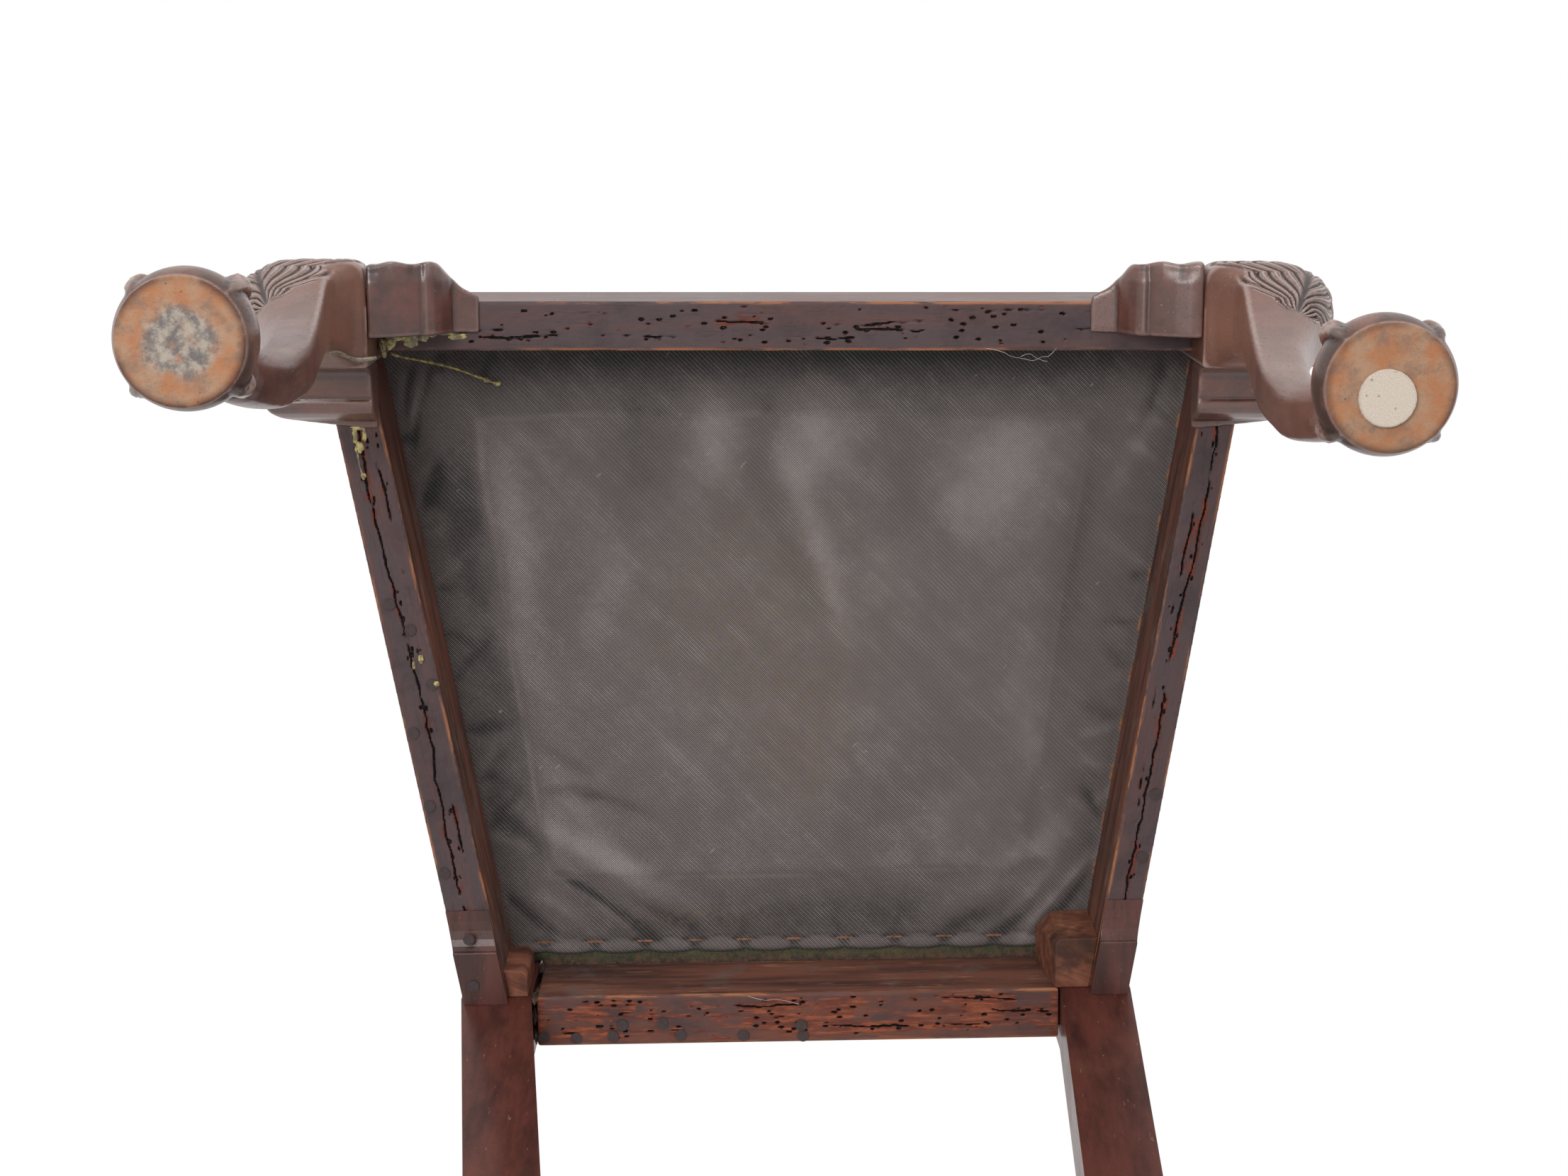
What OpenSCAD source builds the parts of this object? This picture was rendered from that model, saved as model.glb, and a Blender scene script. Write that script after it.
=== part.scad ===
// Mahogany side chair with cabriole front legs, ball-and-claw feet, a pierced back and a drop-in seat.
// Lengths are in millimetres and angles in degrees. The chair faces -Y, and left is the side at -X.
// The frame has racked a little with age, so the two front feet and the two rear legs don't match.

/* [Seat frame] */
// Width over the front corners of the seat frame
front_w = 560; // [530:1:580]
// Width between the side rails' outer lines at the back of the rear rail
rear_w = 399; // [385:1:415]
// Depth from the front rail's face to the back of the rear rail
seat_d = 460; // [440:1:480]
// Height of the rails' lower edges above the floor
rail_bottom = 362; // [340:1:385]
// Height of the rails
rail_h = 72; // [66:1:80]
// Height of the seat ledge above the rails' lower edges
ledge_h = 62; // [52:1:63]
// Thickness of the front rail
front_rail_t = 29; // [26:0.5:32]
// Thickness of the rear rail
rear_rail_t = 32; // [29:0.5:36]
// Thickness of the left side rail, measured across the chair
left_rail_t = 27; // [24:0.5:29]
// Thickness of the right side rail, measured across the chair
right_rail_t = 23; // [21:0.5:27]
// Thickness of the lip that stands above the seat ledge
lip_w = 12; // [9:0.5:15]
// Width of the ledge on the rear rail
rear_ledge_w = 10; // [7:0.5:12]
// Distance that racking has pushed the front rail's left end forward and its right end back
front_skew = 4.5; // [0:0.5:6]
// Radius of the rounded upper edge of the rails
edge_r = 4; // [2:0.5:6]
// Open shoulder at the left end of the rear rail
rear_gap_left = 3; // [0:0.5:4]
// Open shoulder at the right end of the rear rail
rear_gap_right = 1; // [0:0.5:4]

/* [Joinery] */
// Thickness of the rail tenons
tenon_t = 10; // [8:0.5:12]
// Length of the front and rear rails' tenons
tenon_len = 19; // [14:0.5:20]
// Length of the side rails' rear tenons
side_tenon_len = 14; // [10:0.5:14]
// Clearance between the two tenons that meet in a front leg
tenons_apart = 0.8; // [0.5:0.1:2]
// Height of the rail tenons
tenon_h = 46; // [36:1:50]
// Distance from a rail's outer face to its tenon
tenon_set = 9; // [7:0.5:10]
// Clearance round each tenon in its mortise
joint_gap = 0.1; // [0.05:0.05:0.3]

/* [Front legs] */
// Width of the square block at the head of a front leg
block_w = 39; // [36:0.5:42]
// Depth of the square block at the head of a front leg
block_d = 35; // [34:0.5:40]
// Length of the square block below the rails
block_drop = 40; // [36:1:46]
// How far the knee stands out in front of the front rail
knee_out = 26.5; // [20:0.5:30]
// How far the knee stands out beyond the side rail
knee_side = 36; // [26:0.5:38]
// Depth below the rails at which the knee stands out most
knee_drop = 30; // [24:1:34]
// Height of the ankle above the floor
ankle_h = 92; // [84:1:104]
// Width of the ankle
ankle_w = 28; // [26:0.5:33]
// Distance of the ankle's centre inside the corner of the seat frame, along each side
ankle_in = 23.5; // [20:0.5:25]
// Distance of the leg's hollow inner side below the block from the corner of the seat frame
hollow_in = 23.5; // [22:0.5:28]
// Distance from the chair's centre plane to the centre of the left front foot
left_foot_x = 277.5; // [270:0.5:280]
// Distance of the left front foot's centre behind the front rail's face
left_foot_y = -13; // [-16:0.5:-2]
// Distance from the chair's centre plane to the centre of the right front foot
right_foot_x = 275; // [270:0.5:280]
// Distance of the right front foot's centre behind the front rail's face
right_foot_y = 8.5; // [-2:0.5:12]
// Diameter of the carved ball
ball_d = 67; // [62:0.5:72]
// Height of the ball's centre above the foot's underside
ball_h = 15; // [13:0.5:20]
// Thickness of a claw at its first knuckle
claw_d = 13; // [11:0.5:15]
// Diameter of the felt pad under the right front foot
pad_d = 27; // [20:0.5:34]
// Thickness of the felt pad, by which the right front leg is shorter
pad_t = 2.5; // [1.5:0.5:4]
// Distance of the felt pad inside the foot's centre
pad_in = 2; // [0:0.5:5]
// Distance of the felt pad behind the foot's centre
pad_back = 4.5; // [0:0.5:7]

/* [Knee brackets] */
// Length of a front knee bracket beside its leg
front_bracket_len = 61; // [54:1:70]
// Depth from the front rail's face to the front bracket's back
front_bracket_back = 18; // [12:0.5:24]
// Length of a side knee bracket behind its leg
side_bracket_len = 40; // [32:1:46]
// Depth of the knee brackets below the rails
bracket_drop = 38; // [32:1:42]

/* [Rear posts] */
// Distance from the chair's centre plane to the inner face of each rear post at the seat
post_in = 164; // [154:1:170]
// Width of a rear post
post_w = 43.5; // [39:0.5:46]
// Depth of a rear post at the seat
post_d = 41; // [38:0.5:44]
// Distance that each rear foot stands behind the post's place at the seat
rear_rake = 80; // [60:1:95]
// Distance that each rear foot stands inside the post's place at the seat
rear_splay = 26; // [16:1:34]
// Distance that both rear feet lean to the right
rear_lean = 13; // [0:1:16]
// Depth of a rear leg at the floor
rear_foot_d = 38; // [34:0.5:41]
// Angle at which the back leans
back_angle = 11; // [8:0.5:14]
// Length of the rear posts above the seat frame, along the lean
back_len = 470; // [440:1:500]
// Distance that each post's head stands outside its place at the seat
post_flare = 30; // [20:1:38]
// Width of a post's head
head_w = 36; // [32:0.5:40]
// Thickness of a post's head and of the crest rail
crest_t = 26; // [23:0.5:30]

/* [Back] */
// Height of the crest rail at its centre
crest_h = 66; // [58:1:76]
// How far the crest rail dips between its centre and its ears
crest_dip = 23; // [16:1:26]
// Height of the crest rail's ears
ear_h = 67; // [60:1:76]
// Half of the crest rail's length, over its ears
crest_half = 256; // [250:1:260]
// How far the crest rail's centre stands behind its ends
crest_sag = 5; // [3:0.5:7]
// Height of the splat's head above the heads of the posts
splat_rise = 8; // [4:1:14]
// Thickness of the splat
splat_t = 11; // [9:0.5:12]
// Distance of the splat's middle behind the middle of the posts
splat_set = 2; // [1:0.5:3]
// Width of the splat at its foot
splat_foot_w = 122; // [108:1:132]
// Width of the splat at its waist
splat_waist_w = 98; // [92:1:108]
// Width of the splat at its shoulders
splat_top_w = 204; // [190:1:216]
// Width of the splat's widest piercing
pierce_w = 40; // [34:1:42]
// Length of the splat's longest piercing
pierce_len = 90; // [80:1:92]
// Height of the shoe above the rear rail
shoe_h = 24; // [20:0.5:28]
// Depth of the shoe from front to back
shoe_d = 26; // [24.5:0.5:28]
// Depth of the sockets for the splat's ends and the posts' tongues
socket_depth = 14; // [10:0.5:16]
// Width of the tongues on the posts' heads
tongue_w = 20; // [14:0.5:24]

/* [Rear brackets and blocks] */
// Length of the bracket under each side rail, in front of the rear post
rear_bracket_len = 57; // [50:1:66]
// Depth of the rear brackets below the rails
rear_bracket_drop = 8; // [5:0.5:14]
// Width of the right corner block at its foot
block_right_w = 21; // [18:0.5:28]
// Depth of the right corner block
block_right_d = 32; // [26:0.5:38]
// Height of the right corner block
block_right_h = 58; // [46:1:60]
// Width of the left corner block
block_left_w = 12; // [9:0.5:16]
// Depth of the left corner block
block_left_d = 17; // [12:0.5:22]
// Height of the left corner block
block_left_h = 50; // [40:1:58]

/* [Nails and tacks] */
// Diameter of the old nail heads
nail_head_d = 7; // [5:0.5:8]
// Thickness of the nail heads
nail_head_t = 1; // [0.6:0.1:1.4]
// Diameter of the nail shanks
nail_d = 2.6; // [2:0.1:3]
// Length of the nail shanks
nail_len = 20; // [14:1:24]
// Diameter of the tack heads
tack_head_d = 7; // [5:0.5:8]
// Length of the tacks
tack_len = 11; // [8:0.5:14]

/* [Drop-in seat] */
// Clearance round the covered seat in its opening
seat_gap = 1.5; // [1:0.25:3]
// Clearance between the seat and the ledge that it rests on
rest_gap = 0.3; // [0.2:0.05:0.4]
// Thickness of the seat cover's cloth
cover_t = 1.2; // [0.8:0.1:1.6]
// Thickness of the dust cover's cloth
dust_t = 0.6; // [0.4:0.1:0.8]
// Distance of the dust cover's rear edge from the seat's rear edge
dust_in = 18; // [14:0.5:24]
// Thickness of the seat frame's members
member_t = 20; // [16:0.5:22]
// Width of the seat frame's members
member_w = 54; // [48:1:62]
// Height of the crown of the stuffing
crown_h = 34; // [26:1:42]
// Width of cover cloth turned under the seat frame
turn_w = 26; // [20:1:32]
// Width of the webbing
web_w = 50; // [44:1:54]
// Thickness of the webbing
web_t = 1.2; // [0.8:0.1:1.4]
// Thickness of the burlap over the webbing
burlap_t = 0.8; // [0.6:0.1:1]
// Distance of the burlap's edge inside the seat frame's outer edge
burlap_in = 7; // [4:0.5:12]
// Clearance between the stuffing and its cover
pad_gap = 0.3; // [0.2:0.05:0.6]
// How far the stuffing's crown starts inside its rim
pad_edge = 2.5; // [1.5:0.25:4]
// Spacing of the staples along the dust cover
staple_step = 32; // [26:1:40]

/* [Hidden] */

// Colours
mahogany = [0.27, 0.12, 0.09];
pine = [0.6, 0.45, 0.28];
old_block = [0.3, 0.19, 0.13];
iron = [0.25, 0.22, 0.21];
felt = [0.72, 0.68, 0.63];
jute = [0.62, 0.5, 0.34];
wadding = [0.8, 0.76, 0.68];
green_cloth = [0.3, 0.36, 0.24];
black_cloth = [0.16, 0.14, 0.14];
copper = [0.6, 0.36, 0.2];

// Levels and lines of the seat frame
rail_top = rail_bottom + rail_h;
ledge_z = rail_bottom + ledge_h;
half_front = front_w / 2;
side_slope = (half_front - rear_w / 2) / seat_d;
leg_in = half_front - block_w;
rear_face = seat_d - rear_rail_t;
ledge_rear = rear_face + rear_ledge_w;
front_turn = atan(front_skew / half_front);
// How far cutting shapes run past what they cut, and joined shapes into each other
past = 1;

// Outer line of the side rails at depth y
function side_x(y) = half_front - side_slope * y;

// Catmull-Rom curve through points of any dimension, with the given number of steps a span
function spline(p, steps) =
  let (last = len(p) - 1)
  [for (i = [0:last - 1]) for (k = [0:(i == last - 1 ? steps : steps - 1)])
    let (t = k / steps, a = p[max(i - 1, 0)], b = p[i], c = p[i + 1], d = p[min(i + 2, last)])
    0.5 * (2 * b + t * (c - a) + t * t * (2 * a - 5 * b + 4 * c - d)
      + t * t * t * (3 * b - a - 3 * c + d))];

function reversed(p) = [for (i = [len(p) - 1:-1:0]) p[i]];
function flipped(p) = [for (q = p) [-q[0], q[1]]];

// Moves a piece drawn from the front rail's face so that the origin lies under the chair's middle
module placed() {
  translate([0, -middle_y, 0]) children();
}

// A piece of the right side, or its mirror image on the left
module on_side(side) {
  mirror([side < 0 ? 1 : 0, 0, 0]) children();
}

// The front of the seat frame has turned about its middle; side tells in which frame a piece is drawn
module front_turned(side = 1) {
  rotate([0, 0, side * front_turn]) children();
}

// Extrusions along the three axes, of outlines drawn in (x, y), (y, z) and (x, z)
module slab(z0, z1) {
  translate([0, 0, z0]) linear_extrude(z1 - z0) children();
}
module along_x(x0, x1) {
  translate([x0, 0, 0]) rotate([90, 0, 90]) linear_extrude(x1 - x0) children();
}
module along_y(y0, y1) {
  translate([0, y1, 0]) rotate([90, 0, 0]) linear_extrude(y1 - y0) children();
}

// Solid between the rings of a loft, which run anticlockwise seen from where the loft ends
module loft(rings) {
  n = len(rings[0]);
  m = len(rings);
  function middle(r) = [for (k = [0:2]) (min([for (q = r) q[k]]) + max([for (q = r) q[k]])) / 2];
  polyhedron(
    concat([for (r = rings) each r], [middle(rings[0]), middle(rings[m - 1])]),
    concat(
      [for (j = [0:n - 1]) [m * n, j, (j + 1) % n]],
      [for (j = [0:n - 1]) [m * n + 1, (m - 1) * n + (j + 1) % n, (m - 1) * n + j]],
      [for (i = [0:m - 2], j = [0:n - 1])
        let (a = i * n + j, b = i * n + (j + 1) % n)
        each [[a, a + n, b + n], [a, b + n, b]]]
    )
  );
}

// The corner that rounding an upper edge takes off, with the outer face at x = 0 and the top at y = 0.
// The round is a little fuller than its corner, so that it crosses both faces at a slight angle
module rounded_off() {
  fullness = 1.02;
  difference() {
    translate([-edge_r, -edge_r]) square([edge_r + past, edge_r + past]);
    translate([-edge_r, -edge_r]) circle(r = fullness * edge_r, $fn = 32);
  }
}

// Rounding cut along the outer upper edge of the right side, between two depths
module side_edge_cut(y0, y1) {
  angle = atan(side_slope);
  translate([side_x(y1), y1, rail_top]) rotate([0, 0, angle]) rotate([90, 0, 0])
    linear_extrude((y1 - y0) / cos(angle)) rounded_off();
}

// Rounding cut along the upper edge of the front
module front_edge_cut(x0, x1) {
  translate([0, 0, rail_top]) along_x(x0, x1) mirror([1, 0]) rounded_off();
}

// Rails

// Tenons stand in the middle of the rail's height below the ledge; gap grows them into mortises
tenon_z = rail_bottom + (ledge_h - tenon_h) / 2;
rear_tenon_y = ledge_rear + (seat_d - ledge_rear - tenon_t) / 2;

module front_tenon(gap) {
  translate([leg_in - past, tenon_set - gap, tenon_z - gap])
    cube([tenon_len + past + gap, tenon_t + 2 * gap, tenon_h + 2 * gap]);
}

module rear_tenon(gap) {
  translate([post_in - rear_gap_left - past, rear_tenon_y - gap, tenon_z - gap])
    cube([tenon_len + rear_gap_left + past + gap, tenon_t + 2 * gap, tenon_h + 2 * gap]);
}

// Plan of a band that follows the side's outer line, at the given set and thickness inside it
function side_band(y0, y1, set, t) = [
  [side_x(y0) - set - t, y0], [side_x(y0) - set, y0],
  [side_x(y1) - set, y1], [side_x(y1) - set - t, y1]
];

module side_tenon(y0, y1, gap) {
  slab(tenon_z - gap, tenon_z + tenon_h + gap)
    polygon(side_band(y0 - gap, y1 + gap, tenon_set - gap, tenon_t + 2 * gap));
}
module side_tenon_front(gap) {
  side_tenon(tenon_set + tenon_t + front_skew + tenons_apart, block_d + front_skew + past, gap);
}
module side_tenon_rear(gap) {
  side_tenon(rear_face - past, rear_face + side_tenon_len, gap);
}

module front_rail() {
  color(mahogany) placed() front_turned() union() {
    translate([-leg_in, 0, rail_bottom]) cube([2 * leg_in, front_rail_t, ledge_h]);
    difference() {
      translate([-leg_in, 0, ledge_z - past]) cube([2 * leg_in, lip_w, rail_top - ledge_z + past]);
      front_edge_cut(-leg_in - past, leg_in + past);
    }
    for (side = [-1, 1]) on_side(side) front_tenon(0);
  }
}

module side_rail(side, t) {
  start = block_d - front_skew - past;
  difference() {
    union() {
      slab(rail_bottom, ledge_z) polygon(side_band(start, rear_face, 0, t));
      slab(ledge_z - past, rail_top) polygon(side_band(start, rear_face, 0, lip_w));
    }
    side_edge_cut(start - past, rear_face + past);
    front_turned(side) translate([leg_in - 2 * past, 0, rail_bottom - past])
      cube([block_w + 4 * past, block_d, rail_h + 2 * past]);
  }
  side_tenon_front(0);
  side_tenon_rear(0);
}

module side_rail_left() {
  color(mahogany) placed() on_side(-1) side_rail(-1, left_rail_t);
}

module side_rail_right() {
  color(mahogany) placed() side_rail(1, right_rail_t);
}

module rear_rail() {
  x0 = -post_in + rear_gap_left;
  length = 2 * post_in - rear_gap_left - rear_gap_right;
  color(mahogany) placed() union() {
    translate([x0, rear_face, rail_bottom]) cube([length, rear_rail_t, ledge_h]);
    translate([x0, ledge_rear, ledge_z - past]) cube([length, seat_d - ledge_rear, rail_top - ledge_z + past]);
    for (side = [-1, 1]) on_side(side) rear_tenon(0);
  }
}

// Front legs

ball_r = ball_d / 2;
knee_z = rail_bottom - knee_drop;
block_z = rail_bottom - block_drop;
foot_x_mid = (left_foot_x + right_foot_x) / 2;
foot_y_mid = (left_foot_y + right_foot_y) / 2;
foot_in = (half_front - foot_x_mid + foot_y_mid) / 2;
knee_top_share = 0.53;
block_set = 0.5;
leg_points = 24;
leg_steps = 3;

// Shank between the block and the ankle: each row gives the share of the way down, the shares of the
// way from the knee's line to the ankle's and from the hollow's line to the ankle's, and the
// squareness of the outer arris and of the other three
shank = [
  [1, 1, 1, 2.4, 3], [0.87, 1, 1, 2.4, 3.4], [0.7, 0.95, 0.9, 2.4, 4.2], [0.52, 0.81, 0.61, 2.4, 5],
  [0.39, 0.65, 0.39, 2.4, 6], [0.26, 0.45, 0.18, 2.4, 7], [0.15, 0.24, 0.02, 2.4, 8],
  [0.09, 0.13, 0.12, 2.4, 8], [0.03, 0.04, 0.68, 2.4, 8]
];

// Rows of the leg's template, which is sawn alike on both faces: the height, how far the outer face
// stands outside the seat frame's corner, how far the inner face stands inside it, and the squarenesses
leg_template = concat(
  [
    [ball_h + 0.1 * ball_d, 10 - foot_in, 10 + foot_in, 2, 2],
    [ball_h + 0.42 * ball_d, ankle_w / 2 + 1 - neck_in(0.65), ankle_w / 2 + 1 + neck_in(0.65), 2, 2],
    [ball_h + 0.62 * ball_d, ankle_w / 2 + 0.5 - neck_in(0.3), ankle_w / 2 + 0.5 + neck_in(0.3), 2.2, 2.4]
  ],
  [for (row = shank) [
    block_z - row[0] * (block_z - ankle_h),
    knee_out + row[1] * (ankle_w / 2 - ankle_in - knee_out),
    hollow_in + row[2] * (ankle_w / 2 + ankle_in - hollow_in),
    row[3], row[4]
  ]],
  [
    [block_z, 0.99 * knee_out, block_w - block_set, 2.4, 8],
    [knee_z, knee_out, block_w - block_set, 2.4, 8],
    [rail_bottom - 0.4 * knee_drop, 0.93 * knee_out, block_w - block_set, 2.4, 8],
    [rail_bottom, knee_top_share * knee_out, block_w - block_set, 2.6, 8]
  ]
);
function neck_in(share) = ankle_in + share * (foot_in - ankle_in);

// Point at angle a of a section whose arris in the quarter +x, -y has a squareness of its own
function arris(a, outer_n, inner_n) =
  let (c = cos(a), s = sin(a), n = (c > 0 && s < 0) ? outer_n : inner_n)
  [sign(c) * pow(abs(c), 2 / n), sign(s) * pow(abs(s), 2 / n)];

// Ring of the right leg's loft for one row of its template, drifting to its foot's place as it falls
function leg_ring(row, foot_x, foot_y) =
  let (
    fall = 1 - row[0] / rail_bottom,
    x_drift = (foot_x - foot_x_mid) * fall,
    y_drift = (foot_y - foot_y_mid) * fall,
    in_block = min(1, max(0, (row[0] - block_z) / (0.5 * block_drop) + 1)),
    x0 = half_front - row[2] + x_drift,
    x1 = half_front + (row[1] > 0 ? knee_side / knee_out : 1) * row[1] + x_drift,
    y0 = y_drift - row[1],
    y1 = row[2] + (in_block > 0 ? 1 - in_block : 1) * y_drift - in_block * (block_w - block_d)
  )
  [for (k = [0:leg_points - 1])
    let (q = arris((k + 0.001) * 360 / leg_points, row[3], row[4]))
    [(x0 + x1) / 2 + q[0] * (x1 - x0) / 2, (y0 + y1) / 2 + q[1] * (y1 - y0) / 2, row[0]]];

// A claw lies over the ball: each row gives the angle from the ball's top and the claw's half thickness
// as a share of its thickness at the first knuckle, swelling at each knuckle and ending in the nail
claw_template = [
  [12, 0.45], [24, 0.5], [34, 0.58], [44, 0.6], [53, 0.5], [62, 0.5], [71, 0.54], [79, 0.42],
  [87, 0.3], [94, 0.26], [101, 0.2], [108, 0.11], [114, 0.04]
];
claw_points = 8;
claw_off = 0.12;
claw_flat = 0.84;
heel_lift = 5;
toe_lift = 1;

// One claw, running down the ball towards +x, about the ball's centre. Its middle stands off the ball by
// claw_off of its half thickness, its height is claw_flat of its width, and lift raises its tendon
module claw(lift) {
  loft([for (row = spline(claw_template, 2))
    let (r = row[1] * claw_d, reach = ball_r + claw_off * r + lift * max(0, 1 - row[0] / 44))
    [for (k = [0:claw_points - 1])
      let (w = -360 * k / claw_points, d = reach + claw_flat * r * cos(w))
      [d * sin(row[0]), r * sin(w), d * cos(row[0])]]]);
}

module ball_and_claw() {
  difference() {
    union() {
      sphere(r = ball_r, $fn = 48);
      for (turn = [-45, 45, 225]) rotate([0, 0, turn]) claw(toe_lift);
      rotate([0, 0, 135]) claw(heel_lift);
    }
    translate([-ball_d, -ball_d, -ball_d - ball_h]) cube([2 * ball_d, 2 * ball_d, ball_d]);
  }
}

// Plan of the leg's head, with its two outer sides moved in by inset
module leg_head_plan(inset) {
  extra = inset > 0 ? past : 0;
  polygon([
    [leg_in - extra, inset], [side_x(inset) - inset, inset],
    [side_x(block_d + extra) - inset, block_d + extra], [leg_in - extra, block_d + extra]
  ]);
}

// The leg on one side, with its foot's centre at (foot_x, foot_y) and its underside at foot_z
module front_leg(side, foot_x, foot_y, foot_z) {
  difference() {
    front_turned(side) difference() {
      union() {
        slab(block_z, rail_top) leg_head_plan(0);
        loft([for (row = spline(leg_template, leg_steps)) leg_ring(row, foot_x, foot_y)]);
        translate([foot_x, foot_y, foot_z + ball_h]) ball_and_claw();
      }
      slab(ledge_z, rail_top + past) leg_head_plan(lip_w);
      side_edge_cut(-half_front, block_d + past);
      front_edge_cut(leg_in - past, half_front + past);
      front_tenon(joint_gap);
    }
    side_tenon_front(joint_gap);
  }
}

module front_leg_left() {
  color(mahogany) placed() on_side(-1) front_leg(-1, left_foot_x, left_foot_y, 0);
}

module front_leg_right() {
  color(mahogany) placed() front_leg(1, right_foot_x, right_foot_y, pad_t);
}

module foot_pad() {
  color(felt) placed() front_turned() translate([right_foot_x - pad_in, right_foot_y + pad_back, 0])
    cylinder(h = pad_t, d = pad_d, $fn = 64);
}

// Knee brackets

// Section of the knee where it passes into a bracket: how far out it stands at each level
function knee_section(reach, inside) = [
  [-inside, rail_bottom], [knee_top_share * reach, rail_bottom],
  [0.93 * reach, rail_bottom - 0.4 * knee_drop], [reach, knee_z],
  [0.98 * reach, rail_bottom - bracket_drop - past], [-inside, rail_bottom - bracket_drop - past]
];

// Lower edge of the front bracket, as shares of its length and of its drop: two lobes and a thin wing
front_bracket_edge = [
  [0, 1], [0.12, 0.97], [0.26, 0.88], [0.38, 0.77], [0.46, 0.69], [0.49, 0.63], [0.53, 0.66], [0.6, 0.6],
  [0.67, 0.46], [0.73, 0.26], [0.75, 0.15], [0.87, 0.1], [1, 0.05]
];
// Front outline of the front bracket in plan, as shares of its length and of the knee's projection
front_bracket_front = [
  [0, 1], [0.3, 1], [0.55, 0.98], [0.64, 0.91], [0.72, 0.66], [0.82, 0.38], [0.92, 0.24], [1, 0.14]
];

module front_knee_bracket() {
  reach = 0.91 * knee_out;
  function across(share) = leg_in - share * front_bracket_len;
  intersection() {
    along_y(-2 * knee_out, front_rail_t) polygon(concat(
      [[across(0), rail_bottom], [across(1), rail_bottom]],
      [for (q = reversed(front_bracket_edge)) [across(q[0]), rail_bottom - q[1] * bracket_drop]]
    ));
    slab(rail_bottom - bracket_drop - past, rail_bottom) polygon(concat(
      [[across(1), front_bracket_back], [across(0), front_bracket_back]],
      [for (q = spline(front_bracket_front, 3)) [across(q[0]), -q[1] * reach]]
    ));
    along_x(across(1) - past, across(0))
      polygon([for (q = knee_section(reach, front_bracket_back + past)) [-q[0], q[1]]]);
  }
}

// Lower edge of the side bracket, as shares of its length and of its drop: a hollow, a band, a round
// and a thin wing
side_bracket_edge = [
  [0, 1], [0.04, 0.86], [0.1, 0.76], [0.17, 0.71], [0.34, 0.69], [0.47, 0.62], [0.5, 0.56],
  [0.53, 0.64], [0.62, 0.62], [0.72, 0.52], [0.8, 0.36], [0.86, 0.16], [0.87, 0.12], [1, 0.04]
];

module side_knee_bracket() {
  reach = 0.88 * knee_side;
  outside = side_x(block_d) + reach;
  function behind(share) = block_d + share * side_bracket_len;
  intersection() {
    along_x(0, 2 * half_front) polygon(concat(
      [[behind(1), rail_bottom], [behind(0), rail_bottom]],
      [for (q = side_bracket_edge) [behind(q[0]), rail_bottom - q[1] * bracket_drop]]
    ));
    slab(rail_bottom - bracket_drop - past, rail_bottom) polygon(concat(
      [[leg_in, behind(1)], [leg_in, behind(0)]],
      spline([
        [outside, behind(0)], [outside + 1, behind(0.3)], [outside, behind(0.5)],
        [outside - 2, behind(0.66)], [outside - 7, behind(0.79)], [outside - 16, behind(0.87)],
        [outside - 40, behind(0.95)], [leg_in + 8, behind(1)]
      ], 3)
    ));
    along_y(0, 2 * block_d + side_bracket_len)
      polygon([for (q = knee_section(reach, half_front)) [side_x(block_d) + q[0], q[1]]]);
  }
}

module front_knee_bracket_left() {
  color(mahogany) placed() front_turned() on_side(-1) front_knee_bracket();
}
module front_knee_bracket_right() {
  color(mahogany) placed() front_turned() front_knee_bracket();
}
module side_knee_bracket_left() {
  color(mahogany) placed() front_turned() on_side(-1) side_knee_bracket();
}
module side_knee_bracket_right() {
  color(mahogany) placed() front_turned() side_knee_bracket();
}

// Rear posts: each is one piece from the floor to the crest rail

back_y = rear_face + post_d / 2;
post_mid = post_in + post_w / 2;
head_mid = post_mid + post_flare;
tongue_t = 10;

// Point of the leaning back in (y, z): off is measured behind its middle plane, v up along the lean
function back_point(off, v) = [
  back_y + v * sin(back_angle) + off * cos(back_angle),
  rail_top + v * cos(back_angle) - off * sin(back_angle)
];
function post_t(share) = post_d + (crest_t - post_d) * share;

// Puts what is drawn in (x, off, v) into the leaning back
module in_back() {
  translate([0, back_y, rail_top]) rotate([-back_angle, 0, 0]) children();
}

module post_tongue(gap) {
  in_back() translate([head_mid - tongue_w / 2 - gap, -tongue_t / 2 - gap, back_len - past])
    cube([tongue_w + 2 * gap, tongue_t + 2 * gap, socket_depth + past + gap]);
}

back_shares = [0.14, 0.34, 0.66, 1];

module post_side_profile() {
  front = spline(concat([[rear_face, rail_top]],
    [for (s = back_shares) back_point(-post_t(s) / 2, s * back_len)]), 4);
  rear = spline(concat([[rear_face + post_d, rail_top]],
    [for (s = back_shares) back_point(post_t(s) / 2, s * back_len)]), 4);
  polygon(concat(
    [[rear_face + post_d, rail_bottom], [rear_face + rear_rake + rear_foot_d, 0],
      [rear_face + rear_rake, 0], [rear_face, rail_bottom]],
    front, reversed(rear)
  ));
}

// Front view of the right post; lean moves its foot outwards
module post_front_profile(lean) {
  top_z = rail_top + back_len;
  upper = [for (q = [[0, 0, 0], [0.14, 0.05, 0.08], [0.4, 0.34, 0.5], [0.7, 0.72, 0.86], [1, 1, 1]])
    [post_mid + q[1] * post_flare, rail_top + q[0] * back_len, post_w + q[2] * (head_w - post_w)]];
  curve = spline(upper, 4);
  foot = post_in - rear_splay + lean;
  polygon(concat(
    [[post_in, rail_bottom], [foot, 0], [foot + post_w, 0], [post_in + post_w, rail_bottom]],
    [for (q = curve) [q[0] + q[2] / 2, q[1]]],
    [for (q = reversed(curve)) [q[0] - q[2] / 2, q[1]]]
  ));
}

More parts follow.
